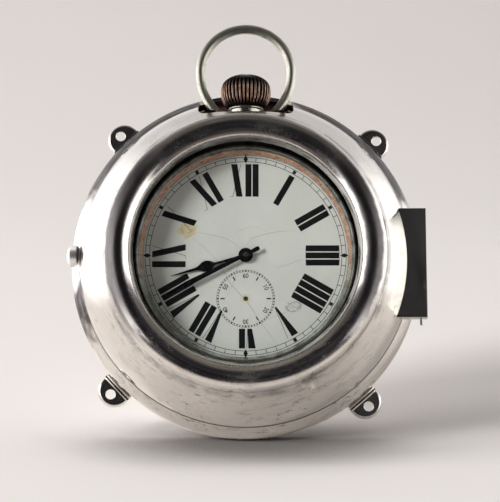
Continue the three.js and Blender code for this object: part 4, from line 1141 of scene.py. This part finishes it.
def crack(points, width, seed, top=DIAL_TOP + 0.006):
    """A hairline in the glaze: a thin strip that wanders a little and tapers at both ends."""
    rng = np.random.default_rng(seed)
    pts = curve(points, 7)
    n = len(pts)
    left, right = [], []
    for i, p in enumerate(pts):
        along = (Vector(pts[min(i + 1, n - 1)]) - Vector(pts[max(i - 1, 0)])).normalized()
        across = Vector((-along.y, along.x))
        middle = Vector(p) + across * float(rng.normal(0, 0.05))
        half = width * (0.35 + 0.65 * sin(pi * i / (n - 1))) * float(rng.uniform(0.7, 1.25)) / 2
        left.append(middle + across * half)
        right.append(middle - across * half)
    faces = [(0, 1, 2, 3), (4, 7, 6, 5), (0, 4, 5, 1), (1, 5, 6, 2), (2, 6, 7, 3), (3, 7, 4, 0)]
    strips = []
    for i in range(n - 1):
        corners = (left[i], right[i], right[i + 1], left[i + 1])
        strips.append(([(c.x, c.y, z) for z in (top, PRINT_FOOT) for c in corners], faces))
    return strips


# width, then the (x, y) points the crack runs through
CRACKS = (
    (0.085, [(-14.5, 4.8), (-7.9, -1.2), (-4.5, -7.3), (0.6, -13.3), (3.9, -18.3), (8.6, -24.6)]),
    (0.07, [(-13.4, 6.5), (-5.7, 4.8), (-1.8, 2.3)]),
    (0.07, [(0.1, 2.6), (1.9, 4.8), (8.1, 6.5), (14.1, 7.0)]),
    (0.06, [(8.1, -3.7), (15.8, -1.0)]),
    (0.055, [(-22.5, 13.7), (-18.6, 12.1), (-16.4, 10.8)]),
    (0.055, [(-16.5, 4.9), (-20.0, 1.5), (-25.5, 0.6)]),
    (0.05, [(3.9, -18.3), (10.5, -16.0), (12.4, -14.3)]),
    (0.05, [(-2.0, -1.8), (-3.2, -7.2), (-6.0, -13.0)]),
)
cracks = []
for seed, (width, points) in enumerate(CRACKS):
    cracks += crack(points, width, seed)
# the chipped star: seven rays and a loop round them
for i in range(7):
    a = radians(20 + 51 * i)
    cracks += crack([(STAR_X, STAR_Y), (STAR_X + 1.3 * cos(a), STAR_Y + 0.8 * sin(a)),
                     (STAR_X + 2.6 * cos(a + 0.2), STAR_Y + 1.5 * sin(a + 0.2))], 0.09, 40 + i)
cracks += crack([(10.9, -13.6), (12.2, -12.8), (13.8, -12.9), (15.1, -13.9), (14.6, -15.2),
                 (12.6, -15.6), (11.0, -14.8), (10.9, -13.6)], 0.07, 60)
piece("dial_cracks", cracks, CRACK, crease=60)
SMEAR_TOP = DIAL_TOP + 0.004
smears = crack([(-1.6, 7.0), (2.7, 8.0), (6.4, 6.2)], 0.16, 71, SMEAR_TOP)
smears += crack([(-4.2, 5.6), (-1.6, 7.0), (0.6, 7.9)], 0.12, 72, SMEAR_TOP)
piece("dial_smear", smears, SMEAR, crease=60)


# ------------------------------------------------------------------ hands
def hand(body, half, blade_z, hub_radius, hub_z, bore, clockwise):
    """A hand pointing clockwise degrees from twelve. half is (half width, y) up the right side."""
    right = curve(half, 5)
    outline = right + [(-w, y) for w, y in right[::-1] if w > 1e-3]
    low, high = hub_z
    hub = [(0, low), (hub_radius - 0.05, low), (hub_radius, low + 0.05),
           (hub_radius, high - 0.07), (hub_radius - 0.07, high), (0, high)]
    hole = [(0, 18), (bore, 18), (bore, 24), (0, 24)]
    refine(body + "_hand", spin(slab(outline, *blade_z, 0.10, 3), 360 - clockwise), BLACK_STEEL,
           body, steps=[(JOIN, lathe(hub, 64)), (CUT, lathe(hole, 48))])


hand("hour", [(0.55, -0.8), (0.42, 1.6), (0.36, 5.0), (0.38, 8.6), (0.75, 9.3), (1.3, 10.2),
              (1.5, 11.2), (1.25, 12.3), (0.7, 13.3), (0.4, 14.4), (0.3, 17.0), (0.18, 20.0),
              (0.03, 21.4)],
     blade_z=(20.56, 20.85), hub_radius=2.0, hub_z=(20.5, 20.95), bore=1.56, clockwise=254.0)
hand("minute", [(0.5, -4.2), (0.62, -3.2), (0.42, -1.0), (0.5, 1.4), (0.58, 6.0), (0.66, 12.0),
                (0.78, 17.5), (0.52, 21.0), (0.26, 23.8), (0.03, 26.0)],
     blade_z=(21.4, 21.68), hub_radius=1.55, hub_z=(21.35, 21.75), bore=0.78, clockwise=243.0)

# ------------------------------------------------------------------ movement
# CAD pieces that keep their shape get a finish and softened edges.
BLUED_SPRING = metal("blued_spring", (0.10, 0.16, 0.42), (0.05, 0.06, 0.12),
                     rough=0.22, dirt=0.2, scale=0.8)
MOVEMENT = (
    (GILT_PLATE, ("main_plate", "barrel_bridge", "train_bridge", "balance_cock", "pallet_cock",
                  "barrel", "barrel_cover")),
    (GILT_WHEEL, ("minute_wheel", "hour_wheel", "centre_wheel", "third_wheel", "fourth_wheel",
                  "balance_wheel")),
    (BRIGHT_STEEL, ("catch_bolt", "catch_spring", "door_strike", "cannon_pinion", "mainspring",
                    "barrel_arbor", "ratchet_wheel", "ratchet_screw", "crown_wheel",
                    "winding_pinion", "click", "click_spring", "escape_wheel", "pallet_lever",
                    "balance_staff", "regulator")),
    (BLUED_SPRING, ("hairspring",)),
)
for look, names in MOVEMENT:
    for name in names:
        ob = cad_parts[name]
        if ob.hide_render:
            continue
        ob.data.materials.clear()
        ob.data.materials.append(look)
        weld = ob.modifiers.new("weld", "WELD")
        weld.merge_threshold = 2e-6
        if name not in ("hairspring", "mainspring"):
            edge = ob.modifiers.new("edge", "BEVEL")
            edge.width = 0.00004
            edge.segments = 1
            edge.limit_method = "ANGLE"
            edge.angle_limit = radians(40)


# ------------------------------------------------------------------ stage (metres, frame axes)
def studio_world():
    """Pale wall behind, brighter to the left; dark room in front, lit from both sides."""
    world = bpy.data.worlds.new("studio")
    scene.world = world
    world.use_nodes = True
    sky = Graph(world.node_tree)
    direction = sky.value("TexCoord", output="Generated")
    dx, dy, dz = sky.split(direction)
    forward = dy * -1.0  # towards the viewer
    sideways = abs(dx)
    cloud = direction.noise(scale=2.2, detail=3.0, rough=0.5)
    streaks = direction.stretch(1.0, 1.0, 0.35).noise(scale=7.0, detail=3.0, rough=0.6)

    left = dx.ramp(0.45, -0.45)
    wall = sky.mix(left, (0.64, 0.625, 0.61), (0.84, 0.82, 0.805))
    wall = sky.mix(dz.ramp(0.55, 0.85), wall, (0.50, 0.48, 0.46))
    lamp = sky.mix(left, (1.65, 1.61, 1.58), (2.3, 2.26, 2.22))
    bright = sky.mix(sideways.ramp(0.36, 0.66) * dz.ramp(0.72, 0.34), wall, lamp)

    room = sky.mix(cloud.ramp(0.35, 0.65), (0.012, 0.011, 0.012), (0.040, 0.037, 0.040))
    sides = sideways.ramp(0.35, 0.95) * streaks.ramp(0.30, 0.70, to=(0.55, 1.0))
    room = sky.mix(sides, room, (0.19, 0.175, 0.195))
    overhead = sky.mix(cloud.ramp(0.3, 0.7), (0.10, 0.092, 0.078), (0.20, 0.183, 0.160))
    room = sky.mix(dz.ramp(0.32, 0.80) * forward.ramp(0.80, 0.50), room, overhead)
    low_front = dz.ramp(-0.30, -0.75) * forward.ramp(0.75, 0.35)
    room = sky.mix(low_front, room, (0.135, 0.113, 0.098))

    # the bright half reaches further forward at both sides near the horizon
    near = sideways.ramp(0.28, 0.62) * abs(dz).ramp(0.60, 0.24)
    border = forward - near * 0.90 + (streaks - 0.5) * 0.12
    colour = sky.mix(border.ramp(-0.36, 0.20), bright, room)
    ground = sky.mix(dx.ramp(0.35, -0.35), (0.47, 0.44, 0.41), (0.72, 0.68, 0.645))
    colour = sky.mix(dz.ramp(-0.12, -0.42) * forward.ramp(0.05, -0.20), colour, ground)
    # the camera itself sees a plain pale backdrop, and diffuse rays get little of the world
    seen = sky.value("LightPath", output="Is Camera Ray")
    colour = sky.mix(seen, colour, sky.mix(0.0, (0.74, 0.705, 0.69), (1, 1, 1)))
    diffuse = sky.value("LightPath", output="Is Diffuse Ray")
    strength = sky.lerp(diffuse, 1.0, 0.09)
    background = sky.value("Background", {"Color": colour, "Strength": strength})
    sky.node("OutputWorld", {0: background})


def paper_material():
    mat = Surface("paper")
    mirror = mat.value("LightPath", output="Is Glossy Ray")
    x, y, _ = mat.split(mat.coords)
    tone = mat.mix(mat.coords.noise(scale=3.0, rough=0.6),
                   (0.69, 0.655, 0.64), (0.73, 0.695, 0.68))
    # painted light: reflections see the paper brighter than the camera does, brighter to the left
    # and darker to the right
    mirrored = mat.mix(x.ramp(0.07, -0.05), (0.60, 0.565, 0.53), (0.86, 0.815, 0.775))
    tone = mat.mix(mirror, tone, mirrored)
    # deepen the contact shadow, less so in reflections
    close = mat.value("AmbientOcclusion", {"Distance": 0.035}, output="AO", samples=8)
    shade = close.ramp(0.92, 0.30, to=(0.0, 0.78)) * mat.lerp(mirror, 1.0, 0.30)
    tone = mat.mix(shade, tone, (0.05, 0.045, 0.04))
    grain = mat.coords.noise(scale=900.0, detail=3.0, rough=0.6)
    normal = mat.bump(grain, strength=0.1, distance=0.0001)
    sheet = mat.value("BsdfDiffuse", {"Color": tone, "Roughness": 0.6, "Normal": normal})
    hole = mat.value("BsdfTransparent")
    under_side = mat.value("NewGeometry", output="Backfacing")
    # reflections see the paper end close round the case, so the silver mirrors the dark room
    far = abs(x).ramp(0.14, 0.34).max(y.ramp(0.16, 0.34))
    gone = (mirror * y.ramp(-0.030, -0.066).max(far)).max(under_side)
    return mat.output(mat.value("MixShader", {0: gone, 1: sheet, 2: hole}))


def paper_floor():
    """A broad pale sweep that runs down towards the viewer and up behind the case."""
    height, slope = -0.0483, tan(radians(18))  # height under the case
    half_width, bend_y, bend_radius = 1.8, 0.35, 0.5
    profile = [(y, height + slope * y) for y in np.linspace(-1.2, bend_y, 24)]
    for t in range(6, 73, 6):
        rise = bend_radius * (1 - cos(radians(t))) + slope * 0.4 * sin(radians(t))
        profile.append((bend_y + bend_radius * sin(radians(t)), height + slope * bend_y + rise))
    verts = [(x, y, z) for y, z in profile for x in (-half_width, half_width)]
    faces = [(2 * i, 2 * i + 1, 2 * i + 3, 2 * i + 2) for i in range(len(profile) - 1)]
    mesh = bpy.data.meshes.new("floor")
    mesh.from_pydata(verts, [], faces)
    floor = bpy.data.objects.new("floor", mesh)
    scene.collection.objects.link(floor)
    mesh.polygons.foreach_set("use_smooth", [True] * len(mesh.polygons))
    mesh.materials.append(paper_material())
    floor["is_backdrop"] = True


def aim(ob, target):
    ob.rotation_euler = (Vector(target) - ob.location).to_track_quat("-Z", "Y").to_euler()


def softbox(name, place, size, watts, colour, target=(0, 0, 0)):
    """An area light that neither the camera nor reflections see."""
    light = bpy.data.lights.new(name, "AREA")
    light.shape = "RECTANGLE"
    light.size, light.size_y = size
    light.energy = watts
    light.color = colour
    ob = bpy.data.objects.new(name, light)
    scene.collection.objects.link(ob)
    ob.location = place
    aim(ob, target)
    ob.visible_camera = False
    ob.visible_glossy = False
    ob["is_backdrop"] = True


def camera():
    """Looks at the dial from in front and a little below."""
    elevation, distance = radians(10.2), 0.481
    target = Vector((0.00118, -0.020, 0.00124))
    data = bpy.data.cameras.new("camera")
    data.sensor_fit = "HORIZONTAL"
    data.sensor_width = 36.0
    data.lens = 126.0
    data.clip_start = 0.01
    data.clip_end = 20.0
    ob = bpy.data.objects.new("camera", data)
    scene.collection.objects.link(ob)
    ob.location = target + Vector((0, -cos(elevation), -sin(elevation))) * distance
    aim(ob, target)
    scene.camera = ob


studio_world()
paper_floor()
softbox("left_box", place=(-1.10, -0.40, 1.15), size=(0.8, 0.8), watts=9.5,
        colour=(1.0, 0.985, 0.97))
softbox("right_box", place=(0.85, -0.15, 0.25), size=(0.45, 0.8), watts=0.7,
        colour=(1.0, 0.99, 0.985))
softbox("key_box", place=(-0.77, -0.68, 0.21), size=(0.34, 0.34), watts=9.3,
        colour=(1.0, 0.995, 0.98))
softbox("top_box", place=(0.0, 0.05, 1.0), size=(0.9, 0.6), watts=5.0,
        colour=(1.0, 0.99, 0.98), target=(0, 0.15, 0))
camera()
scene.view_settings.view_transform = "Standard"

bpy.context.view_layer.update()
size["end"] = plain_bounds()
